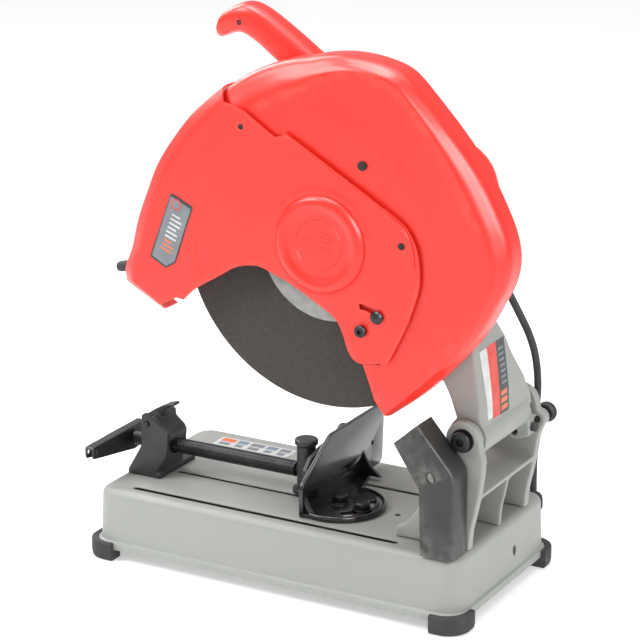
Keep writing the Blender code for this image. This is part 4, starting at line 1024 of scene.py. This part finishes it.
def build_upper_guard():
    edge = smooth_path(UPPER_EDGE, 6)
    edge[-1] = UPPER_EDGE_END
    rim = polar(WHEEL, [(a, rim_radius) for a, rim_radius, _ in edge])
    face = polar(WHEEL, [(a, face_radius) for a, _, face_radius in edge])

    def dent(angle, share):
        """A finger scallop low on the back of the shoulder."""
        return 4.5 * bump_up(angle + 45.5, 2.0, 8.0) * bump_up(share - 0.45, 0.1, 0.42)

    def height(y, z):
        """The face falls away a little from its crest line."""
        crest = distance_to((y, z), UPPER_CREST, closed=False)
        return UPPER_FACE - 0.35 * step_up(26 - crest, 7.0)

    def panel(row, hole, spacing):
        """A sheet bounded by a row of the wall and the mouth."""
        row = [(y, z) for x, y, z in row]
        mouth = densify([row[-1]] + polar(WHEEL, UPPER_MOUTH) + [row[0]], 4.0)
        return sheet(row + mouth[1:-1], [hole], spacing)

    # (x, share of the way to the face, pull towards the axis)
    profile = [(UPPER_BACK, 0.0, 1.6), (76.5, 0.0, 0.6), (77.2, 0.0, 0.0), (84, 0, 0), (90, 0, 0)]
    profile += [(x, share, 0) for x, share in shoulder(104.0, UPPER_FACE)]
    rows = []
    for x, share, pull in profile:
        row = shell_row(rim, face, x, share, pull)
        rows.append([(px - dent(point[0], share), y, z) for (px, y, z), point in zip(row, edge)])
    skin = Skin()
    skin.strip(rows)
    points, triangles = panel(rows[-1], circle(WHEEL, 13.2, 40), 7.0)
    skin.add([(height(y, z), y, z) for y, z in points], triangles)
    points, triangles = panel(rows[0], circle(WHEEL, 27.6, 48), 12.0)
    skin.add([(UPPER_BACK, y, z) for y, z in points], triangles)
    shell = skin.build("upper_guard_shell", thick=2.3, bevel=0.5)
    subtract(shell, cyl("cut", 3.3, "X", UPPER_HOLE, 108, 130, 24))
    collar = lathe("collar", [(30.0, 115.2), (33.4, 115.2), (33.4, 123.2), (32.9, 123.6),
                              (30.5, 123.6), (30.0, 123.2)], "X", HUB, 72)
    boss = lathe("boss", [(3.4, 116.4), (7.2, 116.4), (6.8, 117.15), (3.4, 117.2)],
                 "X", UPPER_HOLE, 40)
    merge([shell, collar, boss])
    shade(shell, 32)
    finish(shell, "head", "red", "upper_guard")


build_upper_guard()

# ------------------------------------------------------------------ front guard with its hub
FRONT_FACE = 122.0
LATCH = (116.5, 325.4)
# Front edge, top to bottom: (y, z of the rim, y, z of the face's edge)
FRONT_EDGE = [
    (-60.0, 566.5, -50.8, 554), (-86, 545.5, -70, 535), (-110, 522, -92, 512),
    (-143, 477, -122, 470), (-161.5, 436, -139, 432), (-173, 405.8, -150, 402),
    (-181.5, 373, -158, 375), (-190.5, 350, -168, 350), (-190, 338, -168, 341),
    (-186, 331, -164, 336), (-156, 315.5, -146, 325), (-138.5, 306.5, -133, 317)]
# The rest of the panel's outline, as (y, z)
PANEL_CORNER = (-113, 328)
PANEL_BOTTOM = [
    (-104, 327), (-88, 342), (-58, 360.5), (-40, 372), (-27, 376.5), (-14, 378.5),
    (-3.6, 377.5), (12, 371.5), (31, 364.5), (58, 350), (84, 334.5), (94, 318), (100, 301),
    (108, 291), (118, 288.5)]
PANEL_REAR = [(147.6, 293.9), (160, 318), (171, 343), (181, 371), (184, 392), (180.5, 420),
              (170, 441), (155.4, 453.5)]
# (y, z, corner radius)
PANEL_TOP = [(90, 491, 0), (24, 528.5, 2), (20, 524, 3), (12, 522, 3), (-25, 546, 12)]
# ((y, z), hole radius, hole sides, rivet radius)
GUARD_RIVETS = [((162.6, 423.5), 3.9, 24, 3.7), ((-29.2, 528.6), 3.2, 20, 3.0)]
# (radius, x)
HUB_PROFILE = [
    (0, 124.6), (33.9, 124.6), (33.9, 121.4), (53.6, 121.2), (53.3, 122.4), (52.4, 124.3),
    (51.0, 126.0), (49.0, 127.4), (46.6, 128.3), (44.2, 128.5), (41.8, 128.1), (39.6, 127.2),
    (37.8, 126.4), (35.8, 126.0), (33.0, 125.9), (28.0, 125.9), (27.6, 125.45),
    (27.0, 125.45), (26.6, 125.9), (0, 125.9)]
# (y, z) of the raised bar along the panel's top and rear
GUARD_RIDGE = [(24.6, 525.6), (56, 507.9), (90, 488.6), (122, 470.2), (148, 454.6),
               (161.0, 444.6), (170.4, 432.6), (176.2, 417.0), (178.6, 400.0)]
# (height on the disc, start, end) of the low bars, turned by HUB_BAR_TILT
HUB_BARS = ((13, -12, 13), (8, -16, 15), (3, -18, 12), (-2, -14, 16), (-12, -8, 9))
HUB_BAR_TILT = radians(-6)


def panel_height(y, z):
    """x of the panel's face."""
    x = FRONT_FACE
    reach = hypot(y - WHEEL_Y, z - WHEEL_Z)
    angle = math.degrees(atan2(z - WHEEL_Z, y - WHEEL_Y)) % 360
    ease = max(0, min(1, (angle - 138) / 8, (212 - angle) / 8))
    # two low concentric steps on the front of the panel
    for start, rise in ((150.0, 0.55), (127.0, 0.45)):
        x += (ease * rise * step_up(reach - start, 1.6)
              - ease * rise * step_up(reach - start - 17, 5.0))
    # low raised ring round the hub
    x += 0.5 * bump_up(hypot(y - HUB_Y, z - HUB_Z) - 57.5, 1.0, 2.5)
    return min(x, 122.98)


def panel_outline(front):
    """The front edge closed by the panel's bottom, rear and top."""
    bottom, rear = smooth_path(PANEL_BOTTOM, 5), smooth_path(PANEL_REAR, 6)
    chain = ([front[-1], PANEL_CORNER] + bottom + rear
             + [row[:2] for row in PANEL_TOP] + [front[0]])
    corners = ([0, 2] + [0] * (len(bottom) - 1) + [6, 7] + [0] * (len(rear) - 2) + [9]
               + [row[2] for row in PANEL_TOP] + [0])
    return front + densify(rounded(chain, corners), 3.0)[1:-1]


def guard_ridge():
    path = smooth_path(GUARD_RIDGE, 6)
    radii = [max(0.4, 2.4 * min(1, (i + 0.6) / 3, (len(path) - i) / 16))
             for i in range(len(path))]
    return tube("ridge", [(122.6, y, z) for y, z in path], radii, 14)


def build_front_guard():
    edge = smooth_path(FRONT_EDGE, 7)
    rim, face = [tuple(p[:2]) for p in edge], [tuple(p[2:]) for p in edge]
    profile = [(80.2, 0), (88, 0), (96, 0)] + shoulder(106.0, FRONT_FACE)
    rows = [shell_row(rim, face, x, share) for x, share in profile]
    skin = Skin()
    skin.strip(rows)
    arc_slot = polar(LATCH, [(a, 29.4) for a in range(32, 98, 5)]
                     + [(a, 23.0) for a in range(96, 31, -5)])
    holes = [arc_slot, circle(LATCH, 3.5, 20)]
    holes += [circle(centre, radius, n) for centre, radius, n, _ in GUARD_RIVETS]
    points, triangles = sheet(panel_outline([(y, z) for x, y, z in rows[-1]]), holes, 3.4)
    skin.add([(panel_height(y, z), y, z) for y, z in points], triangles)
    shell = skin.build("front_guard_shell", thick=1.9, bevel=0.4)
    # hub: a flat disc with a fine groove inside a soft torus
    disc = lathe("hub_disc", HUB_PROFILE, "X", HUB, 128, 30)
    ridge = guard_ridge()
    boss = lathe("boss", [(3.9, 121.4), (6.4, 121.4), (5.8, 122.3), (4.2, 122.35),
                          (3.9, 122.0)], "X", GUARD_RIVETS[0][0], 36)
    merge([shell, disc, ridge, boss])
    shade(shell, 32)
    finish(shell, "front_guard", "red", "lower_guard")


def build_hub_relief():
    """Plain low bars on the hub disc."""
    bars = []
    across, up = cos(HUB_BAR_TILT), sin(HUB_BAR_TILT)
    for height, start, end in HUB_BARS:
        corners = [(start, height - 0.8), (end, height - 0.8), (end, height + 0.8),
                   (start, height + 0.8)]
        outline = [(HUB_Y + a * across - b * up, HUB_Z + a * up + b * across)
                   for a, b in corners]
        bars.append(prism("hub_relief", outline, "X", 125.5, 126.25))
    merge(bars)
    bevelled(bars[0], 0.2, 2, 30)
    finish(bars[0], "front_guard", "red")


def build_guard_fittings():
    for i, (centre, _, _, r) in enumerate(GUARD_RIVETS):
        rivet = lathe("guard_rivet%d" % i, [(0, 120.2), (r, 120.2), (r, 122.2), (r - 0.5, 122.6),
                                            (0, 122.3)], "X", centre, 32)
        finish(rivet, "front_guard", "socket")
    screw = lathe("latch_screw_v", [(0, 117.6), (3.1, 117.6), (3.1, 123.2), (6.2, 123.3),
                                    (6.6, 123.8), (6.6, 126.6), (5.8, 127.6), (0, 127.6)],
                  "X", LATCH, 40)
    subtract(screw, prism("cut", hexagon(LATCH, 5.4), "X", 125, 130))
    shade(screw, 30)
    finish(screw, "front_guard", "blacksteel", "latch_screw")
    # rounded rubber nose pointing away from the wheel axis
    angle, reach = radians(192.5), 261.4
    outward = Vector((0, cos(angle), sin(angle)))
    start = Vector((93, WHEEL_Y + reach * cos(angle), WHEEL_Z + reach * sin(angle)))
    along = [0.0, 1.5, 4, 8, 11, 13, 14.4, 15.4, 16]
    radii = [6.2, 6.2, 6.2, 6.1, 6.0, 5.7, 5.0, 3.7, 1.6]
    nose = tube("guard_nose_v", [tuple(start + outward * t) for t in along], radii, 28)
    finish(nose, "front_guard", "rubber", "guard_nose")


build_front_guard()
build_hub_relief()
build_guard_fittings()

# ------------------------------------------------------------------ sticker colours
STICKERS = {
    name: coated("sticker_" + name, base, 0.4,
                 mottles=[(60, 4, 0.35, 0.7, 0.12, scaled(base, 0.82))],
                 sheen=(120, 4, 0.32, 0.48), grain=[(300, 2, 0.02)],
                 edge=([min(255, c + 40) for c in base], 0.53, 0.62, 0.3))
    for name, base in (("pale", (206, 208, 206)), ("dark", (52, 54, 58)),
                       ("grey", (120, 126, 132)), ("blue", (120, 138, 160)),
                       ("orange", (226, 108, 58)), ("red", (214, 58, 46)))}


def sticker(name, body, outline, axis, base, colour, thick):
    ob = prism(name, outline, axis, base, base + thick)
    finish(ob, body, STICKERS[colour])


# ------------------------------------------------------------------ handle halves: rounded moulding
GRIP_X, GRIP_GAP = 30, 0.12     # parting plane, and each half's distance from it
LOCK_BUTTON = (22, 567)
# (y, z of the top, y, z of the bottom, half width), front to rear
GRIP_SECTIONS = [
    (-110.0, 607.5, -104.0, 603.0, 7.0), (-109.5, 615.5, -95.5, 606.0, 12.0),
    (-103.5, 627.5, -86.5, 609.5, 15.0), (-88.0, 638.5, -76.0, 610.5, 17.0),
    (-70.0, 644.3, -66.0, 607.0, 18.2), (-50.0, 638.5, -52.5, 599.0, 18.4),
    (-20.0, 620.5, -32.0, 584.0, 18.4), (16.0, 595.5, 1.0, 562.0, 18.4),
    (40.0, 577.0, 23.0, 545.5, 18.4), (62.0, 559.0, 43.0, 528.0, 18.4),
    (88.0, 544.0, 60.0, 510.0, 18.4), (118.0, 531.5, 80.0, 491.0, 18.4),
    (145.0, 522.5, 112.0, 490.6, 18.2), (157.0, 509.0, 130.0, 490.2, 16.0),
    (155.0, 497.0, 138.5, 488.0, 12.0)]
# (y, z) of the pocket inside the grip
GRIP_POCKET = [(-18, 560), (-18, 590), (-12, 595), (24, 575.5), (62, 549.5), (54, 536.5),
               (26, 550.5), (20, 543)]


def squared(value):
    """Pushes a sine or cosine outwards, for a squarer oval."""
    return math.copysign(abs(value) ** 0.68, value)


def build_handle():
    n, verts = 44, []
    sections = smooth_path(GRIP_SECTIONS, 5)
    for section in sections:
        top, bottom, width = Vector(section[:2]), Vector(section[2:4]), section[4]
        middle, half = (top + bottom) / 2, (top - bottom) / 2
        for i in range(n):
            a = 2 * pi * i / n
            k = squared(cos(a))
            verts.append((GRIP_X + width * squared(sin(a)), middle.x + half.x * k,
                          middle.y + half.y * k))
    rings = len(sections)
    grip = new_object("grip", verts, end_faces(rings, n) + ring_faces(rings, n), 40)
    subtract(grip, prism("cut", GRIP_POCKET, "X", 22.0, 38.0),
             cyl("cut", 5.4, "X", LOCK_BUTTON, 0, 25, 24))
    soften(grip, 0.85, 4, 0.5)
    for name, side in (("handle_right", 1), ("handle_left", -1)):
        half = grip.copy()
        half.data = grip.data.copy()
        half.name = "v_" + name
        SCENE.collection.objects.link(half)
        bm = bmesh.new()
        bm.from_mesh(half.data)
        cut = bmesh.ops.bisect_plane(
            bm, geom=bm.verts[:] + bm.edges[:] + bm.faces[:],
            plane_co=metres(GRIP_X + side * GRIP_GAP, 0, 0), plane_no=(1, 0, 0),
            clear_inner=side > 0, clear_outer=side < 0)
        edges = [e for e in cut["geom_cut"] if isinstance(e, bmesh.types.BMEdge)]
        bmesh.ops.holes_fill(bm, edges=edges, sides=0)
        bm.to_mesh(half.data)
        bm.free()
        shade(half, 50)
        finish(half, "head", "red", name)
    bpy.data.objects.remove(grip, do_unlink=True)


build_handle()
for i, centre in enumerate(((-74, 624), (108, 512))):
    screw = lathe("handle_screw%d" % i, [(0, 46.6), (3.0, 46.6), (3.0, 48.2), (2.6, 48.5),
                                         (1.4, 48.5), (1.4, 47.6), (0, 47.6)], "X", centre, 28)
    finish(screw, "head", "blacksteel")
casting("trigger", "trigger_v", "trigger", "plastic", 0.5, 5, 0.6)
button = lathe("lock_button_v", [(0, 9.5), (3.2, 9.55), (4.4, 10.0), (5.0, 11.0), (5.0, 21.3),
                                 (0, 21.3)], "X", LOCK_BUTTON, 32)
finish(button, "lock_button", "plastic", "lock_button")
button = lathe("spindle_lock_v", [(0, 456.2), (3.0, 456.2), (3.0, 465), (6.6, 465),
                                  (7.0, 465.5), (7.0, 468.8), (5.8, 470), (0, 470)],
               "Z", (55.0, WHEEL_Y), 32)
finish(button, "spindle_lock", "plastic", "spindle_lock")

# ------------------------------------------------------------------ wheel, flange, bolt
# (radius, x)
WHEEL_PROFILE = [
    (6.6, 95.05), (40, 95.0), (80, 95.05), (130, 95.0), (170, 95.05), (176.0, 95.15),
    (177.3, 95.7), (177.7, 96.6), (177.3, 97.5), (176.0, 98.05), (170, 98.15), (130, 98.2),
    (80, 98.15), (40, 98.2), (6.6, 98.15)]
LABEL_INNER, LABEL_OUTER = 16, 81
FLANGE_PROFILE = [(6.8, 98.6), (30, 98.6), (30, 100.4), (29.4, 101.2), (20, 103.6),
                  (15, 104.5), (6.8, 104.5)]


def woven_paper():
    """Grey paper with a diagonal weave."""
    mat = Mat("paper_label", (150, 153, 152), 0.85)
    split = mat.node("ShaderNodeSeparateXYZ")
    mat.links.new(mat.coords, split.inputs[0])
    waves = []
    for combine in ("ADD", "SUBTRACT"):
        diagonal = mat.math(combine, split.outputs[1], split.outputs[2])
        # 1900 radians of wave per metre
        wave = mat.math("SINE", mat.math("MULTIPLY", diagonal, 1900), 0)
        waves.append(mat.math("ABSOLUTE", wave, 0))
    weave = mat.math("MULTIPLY", mat.math("MAXIMUM", *waves), 1)
    mat.tint(mat.ramp(weave, 0.86, 0.99, 0, 0.45), (84, 86, 86))
    mat.mottle(30, 5, 0.35, 0.7, 0.3, (176, 178, 176))
    mat.sheen(200, 3, 0.7, 0.9)
    mat.bump(weave, 0.06)
    # lighter edges: painted edge highlight with some wear
    mat.edges((214, 210, 198), 0.53, 0.62, 0.3)
    return mat.material


def build_wheel():
    wheel = lathe("wheel_v", WHEEL_PROFILE, "X", WHEEL, 220, 30)
    finish(wheel, "wheel_shaft", "abrasive", "abrasive_wheel")
    paper = woven_paper()
    for name, left, right in (("wheel_label_out", 98.15, 98.45), ("wheel_label_in", 94.85, 95.1)):
        label = lathe(name, [(LABEL_INNER, left), (LABEL_OUTER, left), (LABEL_OUTER, right),
                             (LABEL_INNER, right)], "X", WHEEL, 120, 30)
        finish(label, "wheel_shaft", paper)
    flange = lathe("v_outer_flange", FLANGE_PROFILE, "X", WHEEL, 72)
    finish(flange, "wheel_shaft", "blacksteel", "outer_flange")
    bolt = prism("arbor_bolt_v", hexagon(WHEEL, 17), "X", 104.8, 111.5)
    bevelled(bolt, 0.7, 2, 30)
    finish(bolt, "wheel_shaft", "zinc", "arbor_bolt")


build_wheel()

# ------------------------------------------------------------------ head lock pin, cord
PIN_PROFILE = ([(0, -62.5), (3.4, -62.5), (4.0, -64), (4.0, -84.0), (4.2, -84.1), (9.4, -84.2)]
               + [(3.0 + 8.8 * sin(radians(a)), -91.1 + 6.9 * cos(radians(a)))
                  for a in range(40, 141, 10)]
               + [(6.0, -97.8), (0, -98)])
pin = lathe("lock_pin_v", PIN_PROFILE, "X", (238.47, 190.02), 48)
finish(pin, "head_lock_pin", "plastic", "lock_pin")

CORD_X, CORD_ANGLE = -85.0, radians(-44.2)


def off_motor(reach):
    """A point on the line along which the cord leaves the motor."""
    return (CORD_X, MOTOR_Y + reach * cos(CORD_ANGLE), MOTOR_Z + reach * sin(CORD_ANGLE))


CORD_PATH = [
    off_motor(76.5), (-85.5, 179, 348), (-86, 190, 325), (-88, 203.5, 300), (-90, 213.5, 280),
    (-92.5, 220, 260), (-96, 222.8, 238), (-101.5, 222, 214), (-108, 218.5, 194),
    (-120, 212.5, 152), (-130.5, 207, 112), (-137, 204, 92), (-142, 202, 79),
    (-144.8, 201, 70.2)]
cord = tube("power_cord_v", [tuple(p) for p in smooth_path(CORD_PATH, 7)], 4.2, 20)
finish(cord, "cord", "rubber", "power_cord")
plug = lathe("plug_v", [(0, 68.0), (6, 68.0), (8.4, 66.4), (10.6, 63.6), (11.3, 60),
                        (11.5, 54), (11.5, 50), (10.6, 48.2), (0, 48)],
             "Z", (-145.2, 200.8), 40)
finish(plug, "cord", "rubber", "plug")

BOOT_START, BOOT_END, BOOT_RIBS, BOOT_PITCH = 60.6, 73.8, 8, 1.75
BOOT_RIDGE, BOOT_GROOVE = 7.5, 6.7


def build_boot():
    """Ribbed sleeve where the cord leaves the motor."""
    rib = ((0, BOOT_RIDGE), (0.9, BOOT_RIDGE), (1.0, BOOT_GROOVE), (1.6, BOOT_GROOVE),
           (1.7, BOOT_RIDGE))
    stations = [(BOOT_START + BOOT_PITCH * i + along, radius)
                for i in range(BOOT_RIBS) for along, radius in rib][:-2]
    stations.append((BOOT_END, BOOT_GROOVE))
    boot = tube("cord_boot_v", [off_motor(reach) for reach, _ in stations],
                [radius for _, radius in stations], 28)
    shade(boot, 30)
    finish(boot, "head", "rubber", "cord_boot")


build_boot()
casting("gear_cover", "gear_cover_v", "head", "cast", 0.9, 5, 0.5)

# ------------------------------------------------------------------ label on the front guard
GUARD_LABEL = [(-117.0, 445.8), (-89.3, 433.7), (-113.5, 367.6), (-125.3, 360.2), (-145.8, 371.0)]
LABEL_DOWN = (-28.8 / 80.1, -74.8 / 80.1)       # (y, z) step down the label per millimetre
LABEL_BARS_START, LABEL_BARS_PITCH = 22, 5.2
LABEL_BAR_ORIGIN = (-107.9, 443.8)


def build_guard_label():
    sticker("guard_label_edge", "front_guard", rounded(GUARD_LABEL, 2, 4), "X", 122.1, "dark", 0.75)
    middle_y = sum(y for y, z in GUARD_LABEL) / 5
    middle_z = sum(z for y, z in GUARD_LABEL) / 5
    inner = [(middle_y + (y - middle_y) * 0.90, middle_z + (z - middle_z) * 0.93)
             for y, z in GUARD_LABEL]
    sticker("guard_label", "front_guard", rounded(inner, 2, 4), "X", 122.85, "grey", 0.2)
    for i in range(9):
        down = LABEL_BARS_START + LABEL_BARS_PITCH * i
        y = LABEL_BAR_ORIGIN[0] + LABEL_DOWN[0] * down
        z = LABEL_BAR_ORIGIN[1] + LABEL_DOWN[1] * down
        width = 14.5 if i % 3 else 11.0
        end_y, end_z = y + width * 0.93, z - width * 0.36
        bar = [(y, z), (end_y, end_z), (end_y - 0.6, end_z - 1.9), (y - 0.6, z - 1.9)]
        sticker("guard_label_bar%d" % i, "front_guard", bar, "X", 123.05,
                "pale" if i < 6 else "orange", 0.12)
    ring = lathe("guard_label_ring", [(5.0, 123.05), (6.4, 123.05), (6.4, 123.25),
                                      (5.0, 123.25)], "X", (-110.5, 433.5), 40)
    finish(ring, "front_guard", STICKERS["red"])
    dot = lathe("guard_screw_small", [(0, 121.9), (1.6, 121.9), (1.6, 122.9), (1.2, 123.2),
                                      (0, 123.2)], "X", (-123.5, 461.5), 20)
    finish(dot, "front_guard", STICKERS["red"])


build_guard_label()

# ------------------------------------------------------------------ labels on the arm's rear face
ARM_REAR = [(222, 236.0), (250, 234.0), (280, 229.5), (303, 226.0)]     # (z, y)


def rear_y(z):
    (z0, y0), (z1, y1) = next(pair for pair in zip(ARM_REAR, ARM_REAR[1:]) if z <= pair[1][0])
    return y0 + (y1 - y0) * (z - z0) / (z1 - z0)


def rear_band(name, top, bottom, low, high, colour, lift):
    """A thin strip on the arm's rear face; top and bottom are its (left, right) x."""
    steps = 12
    verts = []
    for i in range(steps + 1):
        t = i / steps
        z = low + (high - low) * t
        left, right = [b + (a - b) * t for a, b in zip(top, bottom)]
        y = rear_y(z)
        verts += [(left, y - 0.4, z), (right, y - 0.4, z), (right, y + lift, z),
                  (left, y + lift, z)]
    faces = ring_faces(steps + 1, 4) + [(0, 1, 2, 3), (48, 49, 50, 51)]
    finish(new_object(name, verts, faces, 30), "head", STICKERS[colour])


rear_band("arm_label_pale", (46, 63), (47, 58), 226, 302, "pale", 0.3)
rear_band("arm_label_red", (24, 46), (29, 47), 224, 303, "red", 0.3)
rear_band("arm_label_dark", (3, 24), (6, 29), 223, 303, "dark", 0.3)
for i in range(3):
    left = 9.5 + 0.2 * i
    rear_band("arm_label_block%d" % i, (left, 25 - 0.4 * i), (left, 25.4 - 0.4 * i),
              227 + 8 * i, 232 + 8 * i, "orange", 0.45)
for i in range(7):
    rear_band("arm_label_bar%d" % i, (8, 20), (8.5, 20.5), 255 + 6.2 * i, 257.4 + 6.2 * i,
              "grey", 0.45)

# ------------------------------------------------------------------ label on the table
PRINT_Z, PRINT_THICK = TABLE_Z + 0.25, 0.22
# (front y, rear y, colour) of each block
TABLE_BLOCKS = ((-184, -166, "orange"), (-162, -148, "blue"), (-144, -126, "grey"),
                (-122, -108, "blue"), (-104, -90, "grey"))


def rectangle(left, right, front, rear):
    return [(left, front), (right, front), (right, rear), (left, rear)]


sticker("table_label", "base_unit", rounded(rectangle(-97, -70, -188, -86), 2.5, 4),
        "Z", TABLE_Z, "pale", 0.3)
for i, (front, rear, colour) in enumerate(TABLE_BLOCKS):
    sticker("table_block%d" % i, "base_unit", rectangle(-94, -84, front, rear),
            "Z", PRINT_Z, colour, PRINT_THICK)
    sticker("table_bars%d" % i, "base_unit", rectangle(-81, -73, front + 2, rear - 2),
            "Z", PRINT_Z, "grey", PRINT_THICK)


# ------------------------------------------------------------------ floor, world, lights, camera
def floor_material():
    """Pale, slightly glowing and one-sided, so that the saw can also be seen from below."""
    mat = Mat("floor_m", (246, 246, 245), 0.65)
    mat.mottle(2, 3, 0.3, 0.7, 0.15, (240, 240, 239))
    mat.set("Emission Color", (1, 1, 1, 1))
    mat.set("Emission Strength", 0.42)
    geometry = mat.node("ShaderNodeNewGeometry")
    clear = mat.node("ShaderNodeBsdfTransparent")
    mix = mat.node("ShaderNodeMixShader")
    mat.links.new(geometry.outputs["Backfacing"], mix.inputs[0])
    mat.links.new(mat.shader.outputs[0], mix.inputs[1])
    mat.links.new(clear.outputs[0], mix.inputs[2])
    mat.links.new(mix.outputs[0], mat.nodes["Material Output"].inputs["Surface"])
    return mat.material


def build_floor():
    half, z = 6, -0.0005        # metres
    mesh = bpy.data.meshes.new("floor")
    mesh.from_pydata([(-half, -half, z), (half, -half, z), (half, half, z), (-half, half, z)],
                     [], [(0, 1, 2, 3)])
    floor = bpy.data.objects.new("floor", mesh)
    SCENE.collection.objects.link(floor)
    mesh.materials.append(floor_material())


def build_world():
    """A dim cool surround that the camera sees as white."""
    world = bpy.data.worlds.new("studio")
    SCENE.world = world
    world.use_nodes = True
    nodes, links = world.node_tree.nodes, world.node_tree.links
    surround = nodes["Background"]
    backdrop = nodes.new("ShaderNodeBackground")
    for node, colour, strength in ((surround, (0.97, 0.985, 1.0, 1), 0.5),
                                   (backdrop, (1.0, 1.0, 1.0, 1), 1.0)):
        node.inputs[0].default_value = colour
        node.inputs[1].default_value = strength
    path = nodes.new("ShaderNodeLightPath")
    mix = nodes.new("ShaderNodeMixShader")
    links.new(path.outputs["Is Camera Ray"], mix.inputs[0])
    links.new(surround.outputs[0], mix.inputs[1])
    links.new(backdrop.outputs[0], mix.inputs[2])
    links.new(mix.outputs[0], nodes["World Output"].inputs[0])


# (name, place, target, size, watts, left out of diffuse light); metres
# The band lights show as pale reflections along the guard's shoulder and the grip
LIGHTS = [
    ("key", (1.3, -1.5, 2.0), (0, 0, 0.3), 1.1, 42, False),
    ("top", (-0.2, 0.1, 2.6), (0, 0, 0.2), 2.0, 30, False),
    ("side", (0.5, 2.3, 1.25), (0, 0.1, 0.4), 0.9, 15, False),
    ("band_right", (1.38, 1.85, 1.62), (0, 0.1, 0.45), 1.3, 62, True),
    ("band_top", (0.42, -0.42, 2.9), (0, 0, 0.5), 1.2, 46, True),
    ("band_left", (-0.75, -1.9, 1.85), (0, -0.1, 0.55), 1.3, 44, True)]


def area_light(name, location, target, size, watts, gloss_only):
    light = bpy.data.lights.new(name, "AREA")
    light.shape, light.size, light.energy = "SQUARE", size, watts
    ob = bpy.data.objects.new(name, light)
    SCENE.collection.objects.link(ob)
    ob.location = location
    ob.rotation_euler = (Vector(target) - Vector(location)).to_track_quat("-Z", "Y").to_euler()
    if gloss_only:
        ob.visible_diffuse = False


CAMERA_AZIMUTH, CAMERA_ELEVATION = radians(28.972), radians(17.439)
CAMERA_PLACE = (2.32412, 1.26456, 1.11575)      # metres


def build_camera():
    backward = Vector((cos(CAMERA_AZIMUTH) * cos(CAMERA_ELEVATION),
                       sin(CAMERA_AZIMUTH) * cos(CAMERA_ELEVATION), sin(CAMERA_ELEVATION)))
    right = Vector((-sin(CAMERA_AZIMUTH), cos(CAMERA_AZIMUTH), 0))
    camera = bpy.data.cameras.new("cam")
    camera.sensor_width = 36.0
    camera.lens = 139.11
    camera.clip_end = 50
    ob = bpy.data.objects.new("cam", camera)
    SCENE.collection.objects.link(ob)
    matrix = Matrix((right, backward.cross(right), backward)).transposed().to_4x4()
    matrix.translation = Vector(CAMERA_PLACE)
    ob.matrix_world = matrix
    SCENE.camera = ob


build_floor()
build_world()
for light in LIGHTS:
    area_light(*light)
SCENE.view_settings.view_transform = "Standard"
SCENE.view_settings.look = "None"
SCENE.view_settings.exposure = 0.0
build_camera()
